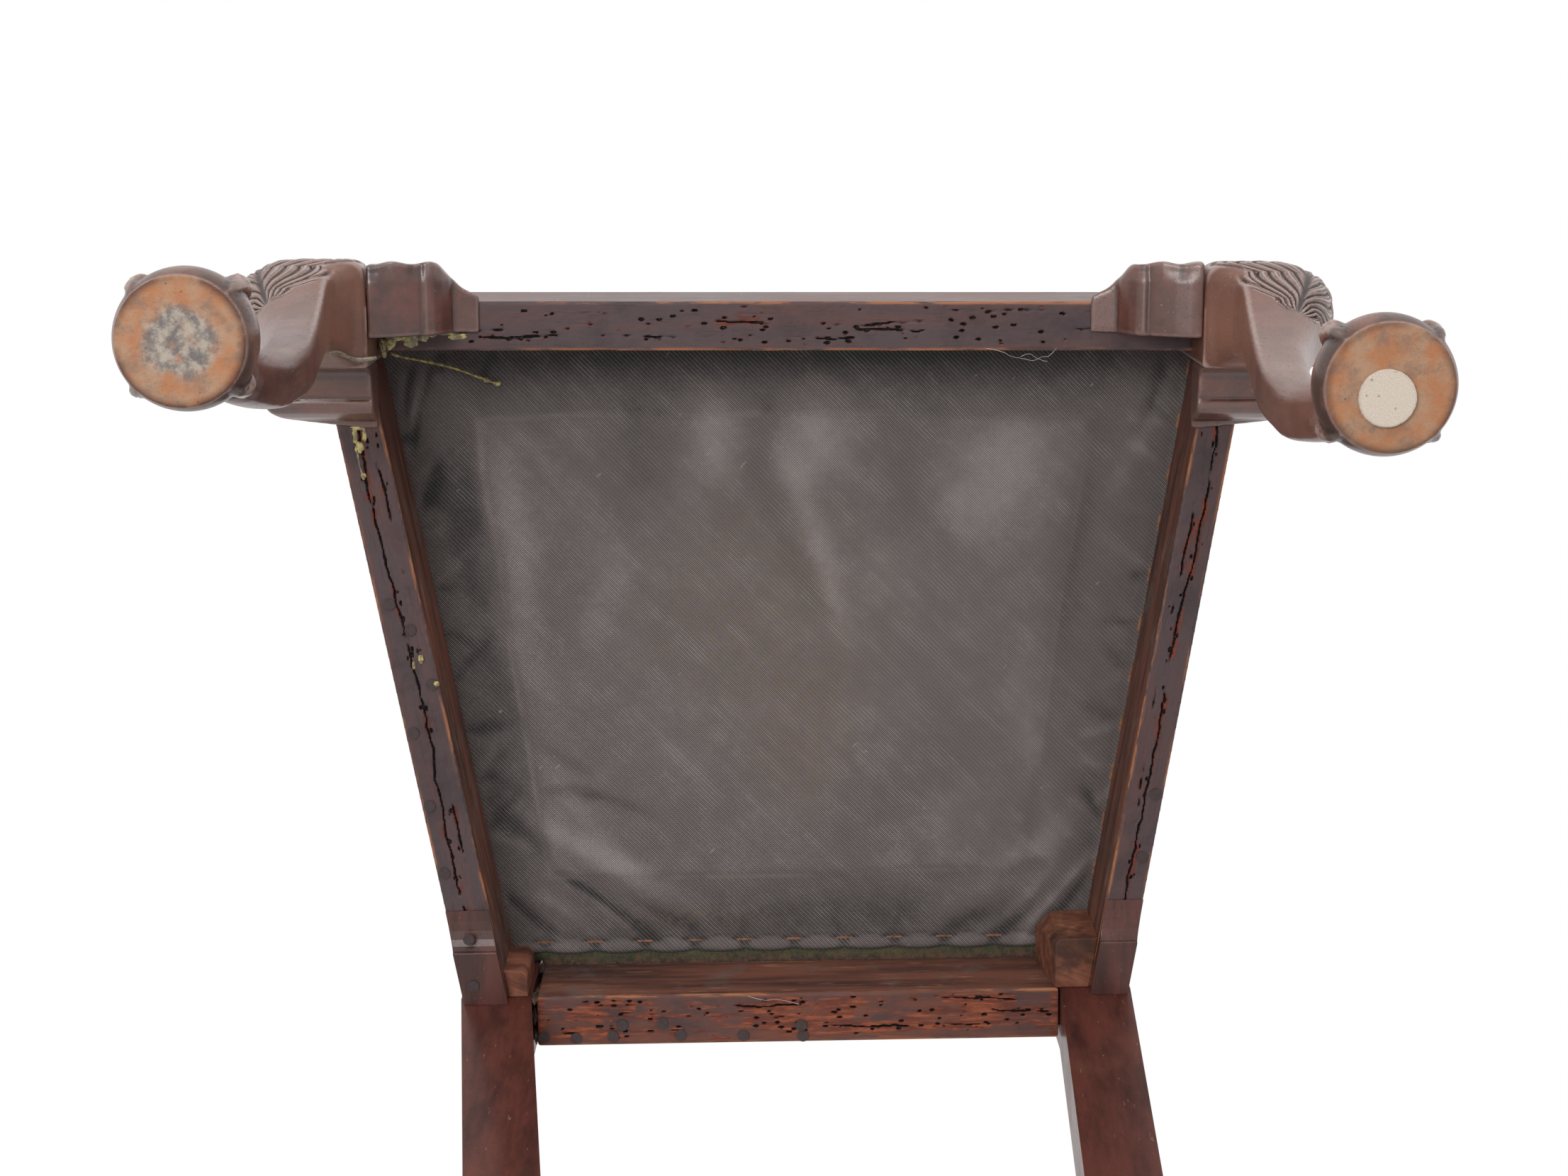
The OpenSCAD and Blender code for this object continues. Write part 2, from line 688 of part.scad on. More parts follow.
module rear_post(lean) {
  difference() {
    union() {
      intersection() {
        along_x(0, half_front) post_side_profile();
        along_y(0, 2 * seat_d) post_front_profile(lean);
      }
      post_tongue(0);
    }
    side_tenon_rear(joint_gap);
    rear_tenon(joint_gap);
  }
}

module rear_post_left() {
  color(mahogany) placed() on_side(-1) rear_post(-rear_lean);
}
module rear_post_right() {
  color(mahogany) placed() on_side(1) rear_post(rear_lean);
}

// Crest rail, splat and shoe

splat_head = back_len + splat_rise;
splat_foot = shoe_h / cos(back_angle) - socket_depth;
head_tongue_w = 0.8 * splat_top_w;
crest_radius = (head_mid * head_mid + crest_sag * crest_sag) / (2 * crest_sag);
ear_r = 13;
ear_eye_r = 5;
ear_out = 2;
eye_out = 1.5;

// Right half of the crest rail's outline in (x, height above the posts' heads), from the top centre
function crest_half_outline() = concat(
  spline([
    [0, crest_h], [0.12 * crest_half, crest_h - 0.04 * crest_dip],
    [0.25 * crest_half, crest_h - 0.4 * crest_dip], [0.4 * crest_half, crest_h - 0.83 * crest_dip],
    [0.55 * crest_half, crest_h - crest_dip],
    [0.7 * crest_half, crest_h - 0.83 * crest_dip],
    [0.84 * crest_half, 0.87 * ear_h], [0.94 * crest_half, 0.985 * ear_h], [0.985 * crest_half, ear_h],
    [crest_half, 0.9 * ear_h], [0.99 * crest_half, 0.7 * ear_h], [0.965 * crest_half, 0.5 * ear_h],
    [0.945 * crest_half, 0.25 * ear_h], [head_mid + 0.58 * head_w, 0.075 * ear_h], [head_mid + head_w / 2, 0]
  ], 4),
  spline([
    [head_mid - head_w / 2, 0], [head_mid - 0.72 * head_w, 0.06 * crest_h],
    [head_mid - 1.39 * head_w, splat_rise + 0.09 * crest_h],
    [0.62 * splat_top_w, splat_rise + 0.1 * crest_h], [0.515 * splat_top_w, splat_rise]
  ], 4),
  [[splat_top_w / 2, splat_rise]]
);

module crest_rail() {
  half = crest_half_outline();
  color(mahogany) placed() difference() {
    in_back() union() {
      intersection() {
        translate([0, 0, back_len]) along_y(-2 * crest_t, 2 * crest_t)
          polygon(concat(half, flipped(reversed(half))));
        translate([0, crest_sag - crest_radius, back_len - past]) linear_extrude(2 * crest_h) difference() {
          circle(r = crest_radius + crest_t / 2, $fn = 1440);
          circle(r = crest_radius - crest_t / 2, $fn = 1440);
        }
      }
      for (side = [-1, 1])
        translate([side * (crest_half - 1.25 * ear_r), -crest_t / 2 - ear_out, back_len + ear_h - 1.4 * ear_r])
          rotate([-90, 0, 0]) {
            cylinder(r = ear_r, h = crest_t / 2, $fn = 48);
            translate([0, 0, -eye_out]) cylinder(r = ear_eye_r, h = crest_t / 2, $fn = 32);
          }
    }
    for (side = [-1, 1]) on_side(side) post_tongue(joint_gap);
    splat_tongue(joint_gap);
  }
}

// Tongue on the splat's head, grown by gap for its groove in the crest rail
module splat_tongue(gap) {
  in_back() translate([-head_tongue_w / 2 - gap, splat_set - splat_t / 2 - gap, splat_head - past])
    cube([head_tongue_w + 2 * gap, splat_t + 2 * gap, socket_depth + past + gap]);
}

// Foot of the splat, grown by gap for its groove in the shoe
module splat_foot_block(gap) {
  in_back() translate([-splat_foot_w / 2 - gap, splat_set - splat_t / 2 - gap, splat_foot - gap])
    cube([splat_foot_w + 2 * gap, splat_t + 2 * gap, 2 * shoe_h]);
}

// Pointed opening of width w and height h, turned outwards by turn
module lancet(x, v, w, h, turn = 0) {
  r = (h * h + w * w) / (4 * w);
  translate([x, v]) rotate(-turn) intersection() {
    translate([r - w / 2, 0]) circle(r = r, $fn = 96);
    translate([w / 2 - r, 0]) circle(r = r, $fn = 96);
  }
}

// Piercings from the foot upwards: place across as a share of the shoulders and up as a share of the
// board, width and length as shares of the largest, and turn. Those off the middle come in pairs
piercings = [
  [0, 0.15, 0.375, 1, 0], [0.118, 0.16, 0.35, 0.98, 2], [0.132, 0.36, 0.475, 0.89, 13],
  [0, 0.42, 0.65, 0.955, 0], [0.22, 0.52, 0.525, 0.98, 16], [0, 0.64, 1, 0.87, 0],
  [0.304, 0.69, 0.55, 0.93, 8], [0.172, 0.8, 0.45, 0.71, -24], [0, 0.87, 0.8, 0.93, 0],
  [0.304, 0.89, 0.45, 0.69, 20], [0.176, 0.945, 0.325, 0.42, 58]
];

// Pierced vase outline of the splat, in (x, height along the lean)
module splat_outline() {
  board = splat_head - shoe_h;
  function up(share) = shoe_h + share * board;
  half = spline([
    [splat_foot_w / 2, up(0.015)], [0.475 * splat_foot_w, up(0.06)], [0.51 * splat_waist_w, up(0.13)],
    [splat_waist_w / 2, up(0.2)], [0.58 * splat_waist_w, up(0.3)], [0.37 * splat_top_w, up(0.42)],
    [0.44 * splat_top_w, up(0.56)], [0.47 * splat_top_w, up(0.7)], [0.44 * splat_top_w, up(0.83)],
    [0.45 * splat_top_w, up(0.92)], [splat_top_w / 2, up(1)]
  ], 5);
  difference() {
    polygon(concat([[splat_foot_w / 2, splat_foot]], half,
      flipped(reversed(half)), [[-splat_foot_w / 2, splat_foot]]));
    for (q = piercings, side = q[0] > 0 ? [-1, 1] : [1])
      lancet(side * q[0] * splat_top_w, up(q[1]), q[2] * pierce_w, q[3] * pierce_len, side * q[4]);
  }
}

module splat() {
  color(mahogany) placed() union() {
    in_back() along_y(splat_set - splat_t / 2, splat_set + splat_t / 2) splat_outline();
    splat_tongue(0);
  }
}

// Moulded shoe: a cove rises from its front edge to the splat
shoe_base = 5;
shoe_bead = 3;
shoe_set_back = 5;
shoe_step = 1;

module splat_shoe() {
  front = ledge_rear + past;
  top = rail_top + shoe_h;
  cove_h = shoe_h - shoe_base - shoe_bead - 2 * shoe_step;
  cove_d = shoe_set_back - shoe_step;
  color(mahogany) placed() difference() {
    along_x(-post_in, post_in) polygon(concat(
      [[front + shoe_d, rail_top], [front + shoe_d, top], [front + shoe_set_back, top]],
      [for (a = [0:15:90])
        [front + shoe_set_back - cove_d * sin(a), top - shoe_bead - cove_h * (1 - cos(a))]],
      [[front, rail_top + shoe_base], [front, rail_top]]
    ));
    splat_foot_block(joint_gap);
  }
}

// Brackets and blocks at the rear posts

module rear_bracket(t) {
  y0 = rear_face - rear_bracket_len;
  cove = 0.44 * rear_bracket_len;
  edge = 1;
  low = rail_bottom - rear_bracket_drop;
  intersection() {
    along_x(0, half_front) polygon(concat(
      [[rear_face, rail_bottom], [y0, rail_bottom]],
      [for (a = [0:15:90])
        [y0 + cove * sin(a), rail_bottom - edge - (rear_bracket_drop - edge) * (1 - cos(a))]],
      [[rear_face + rear_rake * rear_bracket_drop / rail_bottom, low]]
    ));
    slab(low - past, rail_bottom) polygon(side_band(y0 - past, rear_face + post_d, 0, t));
  }
}

module rear_bracket_left() {
  color(mahogany) placed() on_side(-1) rear_bracket(left_rail_t);
}
module rear_bracket_right() {
  color(mahogany) placed() on_side(1) rear_bracket(right_rail_t);
}

// Glue block in the corner between a side rail and its rear post, with its inner front corner cut off
block_cut = 3;
block_up = 1;

module corner_block(w, d, h, rail_t, slant) {
  x_back = side_x(rear_face) - rail_t;
  x_front = side_x(rear_face - d) - rail_t;
  x_in = x_back - w;
  difference() {
    slab(rail_bottom + block_up, rail_bottom + h) polygon([
      [x_back, rear_face], [x_in - slant, rear_face], [x_in - slant, rear_face - d + slant + block_cut],
      [x_in + block_cut, rear_face - d], [x_front, rear_face - d]
    ]);
    along_y(0, seat_d) polygon([
      [x_in - slant - past, rail_bottom], [x_in, rail_bottom], [x_in - slant, rail_bottom + h],
      [x_in - slant - past, rail_bottom + h]
    ]);
  }
}

module corner_block_left() {
  color(old_block) placed() on_side(-1) corner_block(block_left_w, block_left_d, block_left_h, left_rail_t, 0);
}
module corner_block_right() {
  color(old_block) placed() on_side(1) corner_block(block_right_w, block_right_d, block_right_h, right_rail_t, 7);
}

// Nails driven up into the wood, with their heads against it. Rear rail: place across, and distance
// from the rail's rear face. Side rails and bracket: distance in from the outer face and in front of
// the rear posts

rear_nails = [[-157, 6], [-137, 5], [-114, 6], [-108, 13], [-83, 14], [-72, 6], [-33, 5], [3, 11], [4, 4]];
left_nails = [[8, 250], [17, 234], [5, 170], [23, 200], [5, 124], [4.5, 81]];
right_nails = [[5, 124], [6, 84]];
bracket_nails = [[12, 41], [8.5, 11]];

function along_side(side, places) =
  [for (q = places) let (y = rear_face - q[1]) [side * (side_x(y) - q[0]), y]];

module nails(places, z) {
  color(iron) placed() for (q = places) translate([q[0], q[1], z - nail_head_t]) {
    cylinder(d = nail_head_d, h = nail_head_t, $fn = 24);
    cylinder(d = nail_d, h = nail_head_t + nail_len, $fn = 16);
  }
}

module rear_rail_nails() {
  nails([for (q = rear_nails) [q[0], seat_d - q[1]]], rail_bottom);
}
module side_rail_nails_left() {
  nails(along_side(-1, left_nails), rail_bottom);
}
module side_rail_nails_right() {
  nails(along_side(1, right_nails), rail_bottom);
}
module rear_bracket_nails() {
  nails(along_side(-1, bracket_nails), rail_bottom - rear_bracket_drop);
}

// Drop-in seat: levels from the ledge upwards

seat_z = ledge_z + rest_gap;
wrap_z = seat_z + dust_t;
frame_z = wrap_z + cover_t;
frame_top = frame_z + member_t;
webs_top = frame_top + 2 * web_t;
pad_z = webs_top + burlap_t;
frame_inset = seat_gap + cover_t;

// Corners of the seat, anticlockwise from the left front, at a distance inside its opening. The back
// is notched round the rear posts and rests on the rear rail's ledge between them
function seat_corners(inset) =
  let (
    y0 = lip_w + inset,
    skew = side_x(y0) * tan(front_turn),
    y1 = rear_face - inset,
    y2 = ledge_rear - inset,
    x0 = side_x(y0) - lip_w - inset,
    x1 = side_x(y1) - lip_w - inset,
    x2 = post_in - inset
  )
  [[-x0, y0 - skew], [x0, y0 + skew], [x1, y1], [x2, y1], [x2, y2], [-x2, y2], [-x2, y1], [-x1, y1]];

// Plan of the strip along the seat's sides that the side members fill
module side_strips() {
  for (side = [-1, 1]) mirror([side < 0 ? 1 : 0, 0])
    polygon(side_band(-half_front, rear_face, lip_w + frame_inset, member_w));
}
module end_strip(y0, y1) {
  translate([-half_front, y0]) square([front_w, y1 - y0]);
}

frame_front_y = lip_w + frame_inset + member_w;
frame_rear_y = rear_face - frame_inset - member_w;

// Members are halved over each other at the corners: the ends of the front and rear ones lie on top
module end_member(y0, y1) {
  color(pine) placed() difference() {
    slab(frame_z, frame_top) intersection() {
      polygon(seat_corners(frame_inset));
      end_strip(y0, y1);
    }
    slab(frame_z - past, frame_z + member_t / 2) side_strips();
  }
}

module side_member(side) {
  color(pine) placed() difference() {
    slab(frame_z, frame_top) intersection() {
      polygon(seat_corners(frame_inset));
      side_strips();
      translate([side > 0 ? 0 : -half_front, 0]) square([half_front, rear_face - frame_inset]);
    }
    slab(frame_z + member_t / 2, frame_top + past) {
      end_strip(-front_skew, frame_front_y);
      end_strip(frame_rear_y, seat_d);
    }
  }
}

module slip_frame_front() {
  end_member(-front_skew, frame_front_y);
}
module slip_frame_rear() {
  end_member(frame_rear_y, seat_d);
}
module slip_frame_left() {
  side_member(-1);
}
module slip_frame_right() {
  side_member(1);
}

// Webbing: strips across the chair lie under strips from front to back, and all end on the frame
web_inset = frame_inset + 14;
cross_count = 4;
long_count = 5;
web_y0 = lip_w + frame_inset + member_w + web_w / 2;
web_y1 = rear_face - frame_inset - member_w - web_w / 2;
cross_ys = [for (i = [0:cross_count - 1]) web_y0 + (web_y1 - web_y0) * i / (cross_count - 1)];
web_x1 = side_x(rear_face) - lip_w - frame_inset - member_w - web_w / 2;
long_xs = [for (i = [0:long_count - 1]) web_x1 * (2 * i / (long_count - 1) - 1)];

module webbing_cross() {
  color(jute) placed() slab(frame_top, frame_top + web_t) intersection() {
    polygon(seat_corners(web_inset));
    for (y = cross_ys) translate([-half_front, y - web_w / 2]) square([front_w, web_w]);
  }
}

module webbing_long() {
  color(jute) placed() slab(frame_top + web_t, webs_top) intersection() {
    polygon(seat_corners(web_inset));
    for (x = long_xs) translate([x - web_w / 2, 0]) square([web_w, seat_d]);
  }
}

// Tacks through both ends of each strip, two to an end
module tack(z) {
  translate([0, 0, z]) cylinder(d = tack_head_d, h = burlap_t / 2, $fn = 24);
  translate([0, 0, z - tack_len]) cylinder(d1 = 0.8, d2 = 2, h = tack_len + burlap_t / 2, $fn = 16);
}

module webbing_tacks() {
  tack_in = web_inset + tack_head_d;
  color(iron) placed() for (offset = [-web_w / 4, web_w / 4]) {
    for (y = cross_ys, side = [-1, 1])
      translate([side * (side_x(y + offset) - lip_w - tack_in), y + offset, 0]) tack(frame_top + web_t);
    for (x = long_xs, y = [lip_w + tack_in, ledge_rear - tack_in])
      translate([x + offset, y, 0]) tack(webs_top);
  }
}

module burlap() {
  color(jute) placed() difference() {
    slab(webs_top, pad_z) polygon(seat_corners(frame_inset + burlap_in));
    webbing_tack_heads();
  }
}

// Room that the tacks' heads take under the burlap
module webbing_tack_heads() {
  tack_in = web_inset + tack_head_d;
  for (offset = [-web_w / 4, web_w / 4], x = long_xs, y = [lip_w + tack_in, ledge_rear - tack_in])
    translate([x + offset, y, webs_top - past])
      cylinder(d = tack_head_d + 2 * joint_gap, h = past + burlap_t / 2 + joint_gap, $fn = 24);
}

// Stuffing and cover

draw_in = 3;
seat_mid_y = (lip_w + ledge_rear) / 2;
edge_parts = [10, 9, 1, 1, 8, 1, 1, 9];

// Rows of the stuffing from its lower rim to its crown: inset as a share of pad_edge, size about the
// middle, and height as a share of the crown's
pad_rows = [
  [0, 1, 0], [0.12, 1, 0.12], [0.24, 1, 0.24], [1, 0.997, 0.38], [1, 0.98, 0.51], [1, 0.94, 0.63],
  [1, 0.86, 0.75], [1, 0.73, 0.86], [1, 0.55, 0.94], [1, 0.33, 0.985], [1, 0.1, 1]
];

// Ring round the seat at a height, drawn in between the corners of its long edges
function seat_ring(inset, size, z, drawn) =
  let (corner = seat_corners(inset))
  [for (i = [0:7], k = [0:edge_parts[i] - 1])
    let (
      t = k / edge_parts[i],
      a = corner[i],
      b = corner[(i + 1) % 8],
      run = b - a,
      inward = [-run[1], run[0]] / norm(run),
      bow = edge_parts[i] > 1 ? drawn * sin(180 * t) : 0,
      q = a + t * run + bow * inward
    )
    [size * q[0], seat_mid_y + size * (q[1] - seat_mid_y), z]];

// Surface over the stuffing: side moves its rim inwards and up raises its crown
function crowned(side, up) = [for (row = pad_rows)
  seat_ring(frame_inset + pad_edge * row[0] + side * (1 - row[2]), row[1],
    pad_z + row[2] * (crown_h + up), draw_in * min(1, 4 * row[2]))];

module seat_pad() {
  color(wadding) placed() loft(crowned(2 * pad_gap, -pad_gap));
}

module seat_cover() {
  color(green_cloth) placed() loft(concat(
    reversed(crowned(0, 0)),
    [
      seat_ring(frame_inset, 1, frame_z, 0),
      seat_ring(frame_inset + turn_w, 1, frame_z, 0),
      seat_ring(frame_inset + turn_w, 1, wrap_z, 0),
      seat_ring(seat_gap, 1, wrap_z, 0)
    ],
    crowned(-cover_t, cover_t)
  ));
}

// Dust cover over the underside, stapled through the turned-under cover into the frame
dust_inset = seat_gap + 5;
dust_y0 = lip_w + dust_inset;
dust_y1 = ledge_rear - seat_gap - dust_in;
staple_crown = 10;
staple_wire = 1.2;
staple_leg = 8;
staple_in = 5;

// Half of the dust cover's width at depth y, and the line that its front follows
function dust_half(y) = side_x(y) - lip_w - dust_inset;
function dust_front(x, inset) = dust_y0 + inset + x * tan(front_turn);

module dust_cover() {
  half = dust_half(dust_y0);
  color(black_cloth) placed() slab(seat_z, wrap_z) polygon([
    [-half, dust_front(-half, 0)], [half, dust_front(half, 0)],
    [dust_half(dust_y1), dust_y1], [-dust_half(dust_y1), dust_y1]
  ]);
}

module staple() {
  translate([-staple_crown / 2, -staple_wire / 2, seat_z]) cube([staple_crown, staple_wire, dust_t]);
  for (side = [-1, 1])
    translate([side * (staple_crown - staple_wire) / 2 - staple_wire / 2, -staple_wire / 2, seat_z])
      cube([staple_wire, staple_wire, staple_leg]);
}

module dust_cover_staples() {
  color(copper) placed() {
    front_count = floor(2 * dust_half(dust_y0) / staple_step);
    for (i = [0:front_count - 1]) {
      x = (i - (front_count - 1) / 2) * staple_step;
      translate([x, dust_front(x, staple_in), 0]) rotate([0, 0, front_turn]) staple();
    }
    rear_count = floor(2 * dust_half(dust_y1) / staple_step);
    for (i = [0:rear_count - 1])
      translate([(i - (rear_count - 1) / 2) * staple_step, dust_y1 - staple_in, 0]) staple();
    side_count = floor((dust_y1 - dust_y0) / staple_step) - 1;
    for (side = [-1, 1], i = [1:side_count]) {
      y = dust_y0 + i * staple_step;
      translate([side * (dust_half(y) - staple_in), y, 0]) rotate([0, 0, 90 + side * atan(side_slope)]) staple();
    }
  }
}

// The origin lies on the floor, midway between the foremost and the rearmost parts of the chair
front_reach = left_foot_y - left_foot_x * sin(front_turn) - ball_r - 0.4 * claw_d;
head_corner = back_point(crest_t / 2, back_len + crest_h);
rear_reach = max(head_corner[0] + crest_sag, rear_face + rear_rake + rear_foot_d);
middle_y = (front_reach + rear_reach) / 2;

front_rail();
rear_rail();
side_rail_left();
side_rail_right();
front_leg_left();
front_leg_right();
rear_post_left();
rear_post_right();
crest_rail();
splat();
splat_shoe();
front_knee_bracket_left();
front_knee_bracket_right();
side_knee_bracket_left();
side_knee_bracket_right();
rear_bracket_left();
rear_bracket_right();
corner_block_left();
corner_block_right();
rear_rail_nails();
side_rail_nails_left();
side_rail_nails_right();
rear_bracket_nails();
foot_pad();
slip_frame_front();
slip_frame_rear();
slip_frame_left();
slip_frame_right();
webbing_cross();
webbing_long();
webbing_tacks();
burlap();
seat_pad();
seat_cover();
dust_cover();
dust_cover_staples();
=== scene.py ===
import math

import bpy
import numpy as np
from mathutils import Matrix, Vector, noise


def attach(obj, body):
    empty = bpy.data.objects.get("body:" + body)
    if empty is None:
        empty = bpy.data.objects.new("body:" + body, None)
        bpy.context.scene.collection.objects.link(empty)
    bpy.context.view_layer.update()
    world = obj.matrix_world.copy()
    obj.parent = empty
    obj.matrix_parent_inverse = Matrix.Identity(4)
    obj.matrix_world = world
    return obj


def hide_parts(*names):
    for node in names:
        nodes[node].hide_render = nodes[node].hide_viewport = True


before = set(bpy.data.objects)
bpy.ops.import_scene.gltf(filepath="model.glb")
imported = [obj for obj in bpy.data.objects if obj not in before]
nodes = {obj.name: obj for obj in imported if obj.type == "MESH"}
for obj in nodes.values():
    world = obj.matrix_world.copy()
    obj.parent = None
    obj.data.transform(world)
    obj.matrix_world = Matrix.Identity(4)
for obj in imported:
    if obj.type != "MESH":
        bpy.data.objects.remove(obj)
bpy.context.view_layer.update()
bpy.ops.object.select_all(action="DESELECT")

# Seat rails
# Four mahogany rails, rabbeted for the drop-in seat and tenoned into the legs and posts. Their outer
# faces are polished, their inner faces raw, and their undersides worm-eaten and cracked along the grain.

RAIL_Z, LEDGE_Z = 0.362, 0.424
SIDE_TURN = math.atan(80.5 / 460)
FRONT_TURN = math.atan(4.5 / 280)
HOLE_DEPTH, FIBRE_DEPTH, WAVE_DEPTH = 0.0022, 0.0003, 0.0001
HOLE_CELL = (0.0078, 0.0037)
CRACK_WIDTH = 0.0007


class Field:
    """A number, colour or vector that varies over a surface; sums and products of it add Math nodes."""

    def __init__(self, tree, socket=None):
        self.tree, self.socket = tree, socket

    def node(self, kind, settings=None, out=0, **values):
        """Adds a node: its settings come first, then each socket's value or link, named or numbered."""
        made = self.tree.nodes.new(kind)
        for name, value in (settings or {}).items():
            setattr(made, name, value)
        for name, value in values.items():
            socket = made.inputs[int(name[1:]) if name[1:].isdigit() else name.replace("_", " ")]
            if isinstance(value, Field):
                self.tree.links.new(value.socket, socket)
            else:
                socket.default_value = value
        return Field(self.tree, made.outputs[out])

    def maths(self, operation, a, b=0.0):
        return self.node("ShaderNodeMath", {"operation": operation}, i0=a, i1=b)

    def __add__(self, other):
        return self.maths("ADD", self, other)

    def __sub__(self, other):
        return self.maths("SUBTRACT", self, other)

    def __rsub__(self, other):
        return self.maths("SUBTRACT", other, self)

    def __mul__(self, other):
        return self.maths("MULTIPLY", self, other)

    __radd__, __rmul__ = __add__, __mul__

    def between(self, low, high):
        """0 below low, 1 above high and a smooth rise between them; low may be the larger one."""
        return self.node("ShaderNodeMapRange", {"interpolation_type": "SMOOTHSTEP"}, i0=self, i1=low, i2=high)

    def at(self, stretch=(1, 1, 1), turn=0.0, shift=(0, 0, 0)):
        """The surface's place in metres, turned about Z by -turn, then stretched."""
        place = self.node("ShaderNodeTexCoord", out="Object")
        place = self.node("ShaderNodeMapping", Vector=place, Location=shift, Rotation=(0, 0, -turn))
        return self.node("ShaderNodeVectorMath", {"operation": "MULTIPLY"}, i0=place, i1=stretch)

    def cloud(self, place, scale, detail=3.0, rough=0.5):
        """Soft noise of 0 to 1 with scale features to the metre."""
        return self.node("ShaderNodeTexNoise", Vector=place, Scale=scale, Detail=detail, Roughness=rough)

    def specks(self, place, scale, edge, share):
        """Small round spots on some of many scattered points; edge is where they fade out."""
        far = self.node("ShaderNodeTexVoronoi", Vector=place, Scale=scale)
        chance = self.node("ShaderNodeTexVoronoi", out="Color", Vector=place, Scale=scale)
        return far.between(*edge) * chance.between(*share)

    def parts(self):
        """The X, Y and Z of a place, each for itself."""
        outputs = self.node("ShaderNodeSeparateXYZ", i0=self).socket.node.outputs
        return [Field(self.tree, socket) for socket in outputs]

    def drawn(self, name):
        """A value that was worked out for each point of the mesh."""
        return self.node("ShaderNodeAttribute", {"attribute_name": name}, out="Fac")

    def mix(self, a, b, share):
        """Colour a, with as much of b as share says."""
        a, b = [(*c, 1) if isinstance(c, tuple) and len(c) == 3 else c for c in (a, b)]
        return self.node("ShaderNodeMix", {"data_type": "RGBA"}, out=2, i0=share, i6=a, i7=b)

    def surface(self, colour, roughness, height=None, depth=0.0, **more):
        """The finished surface, with its relief from height."""
        if height is not None:
            more["Normal"] = self.node("ShaderNodeBump", Height=height, Distance=depth, Strength=1.0)
        body = self.node("ShaderNodeBsdfPrincipled", Base_Color=colour, Roughness=roughness, **more)
        body.shown_by("ShaderNodeOutputMaterial")

    def shown_by(self, output):
        self.tree.links.new(self.socket, self.tree.nodes.new(output).inputs[0])


def new_finish(name):
    """An empty material and the Field that adds nodes to it."""
    material = bpy.data.materials.new(name)
    material.use_nodes = True
    material.node_tree.nodes.clear()
    return material, Field(material.node_tree)


def finish_with(piece, material):
    piece.data.materials.clear()
    piece.data.materials.append(material)


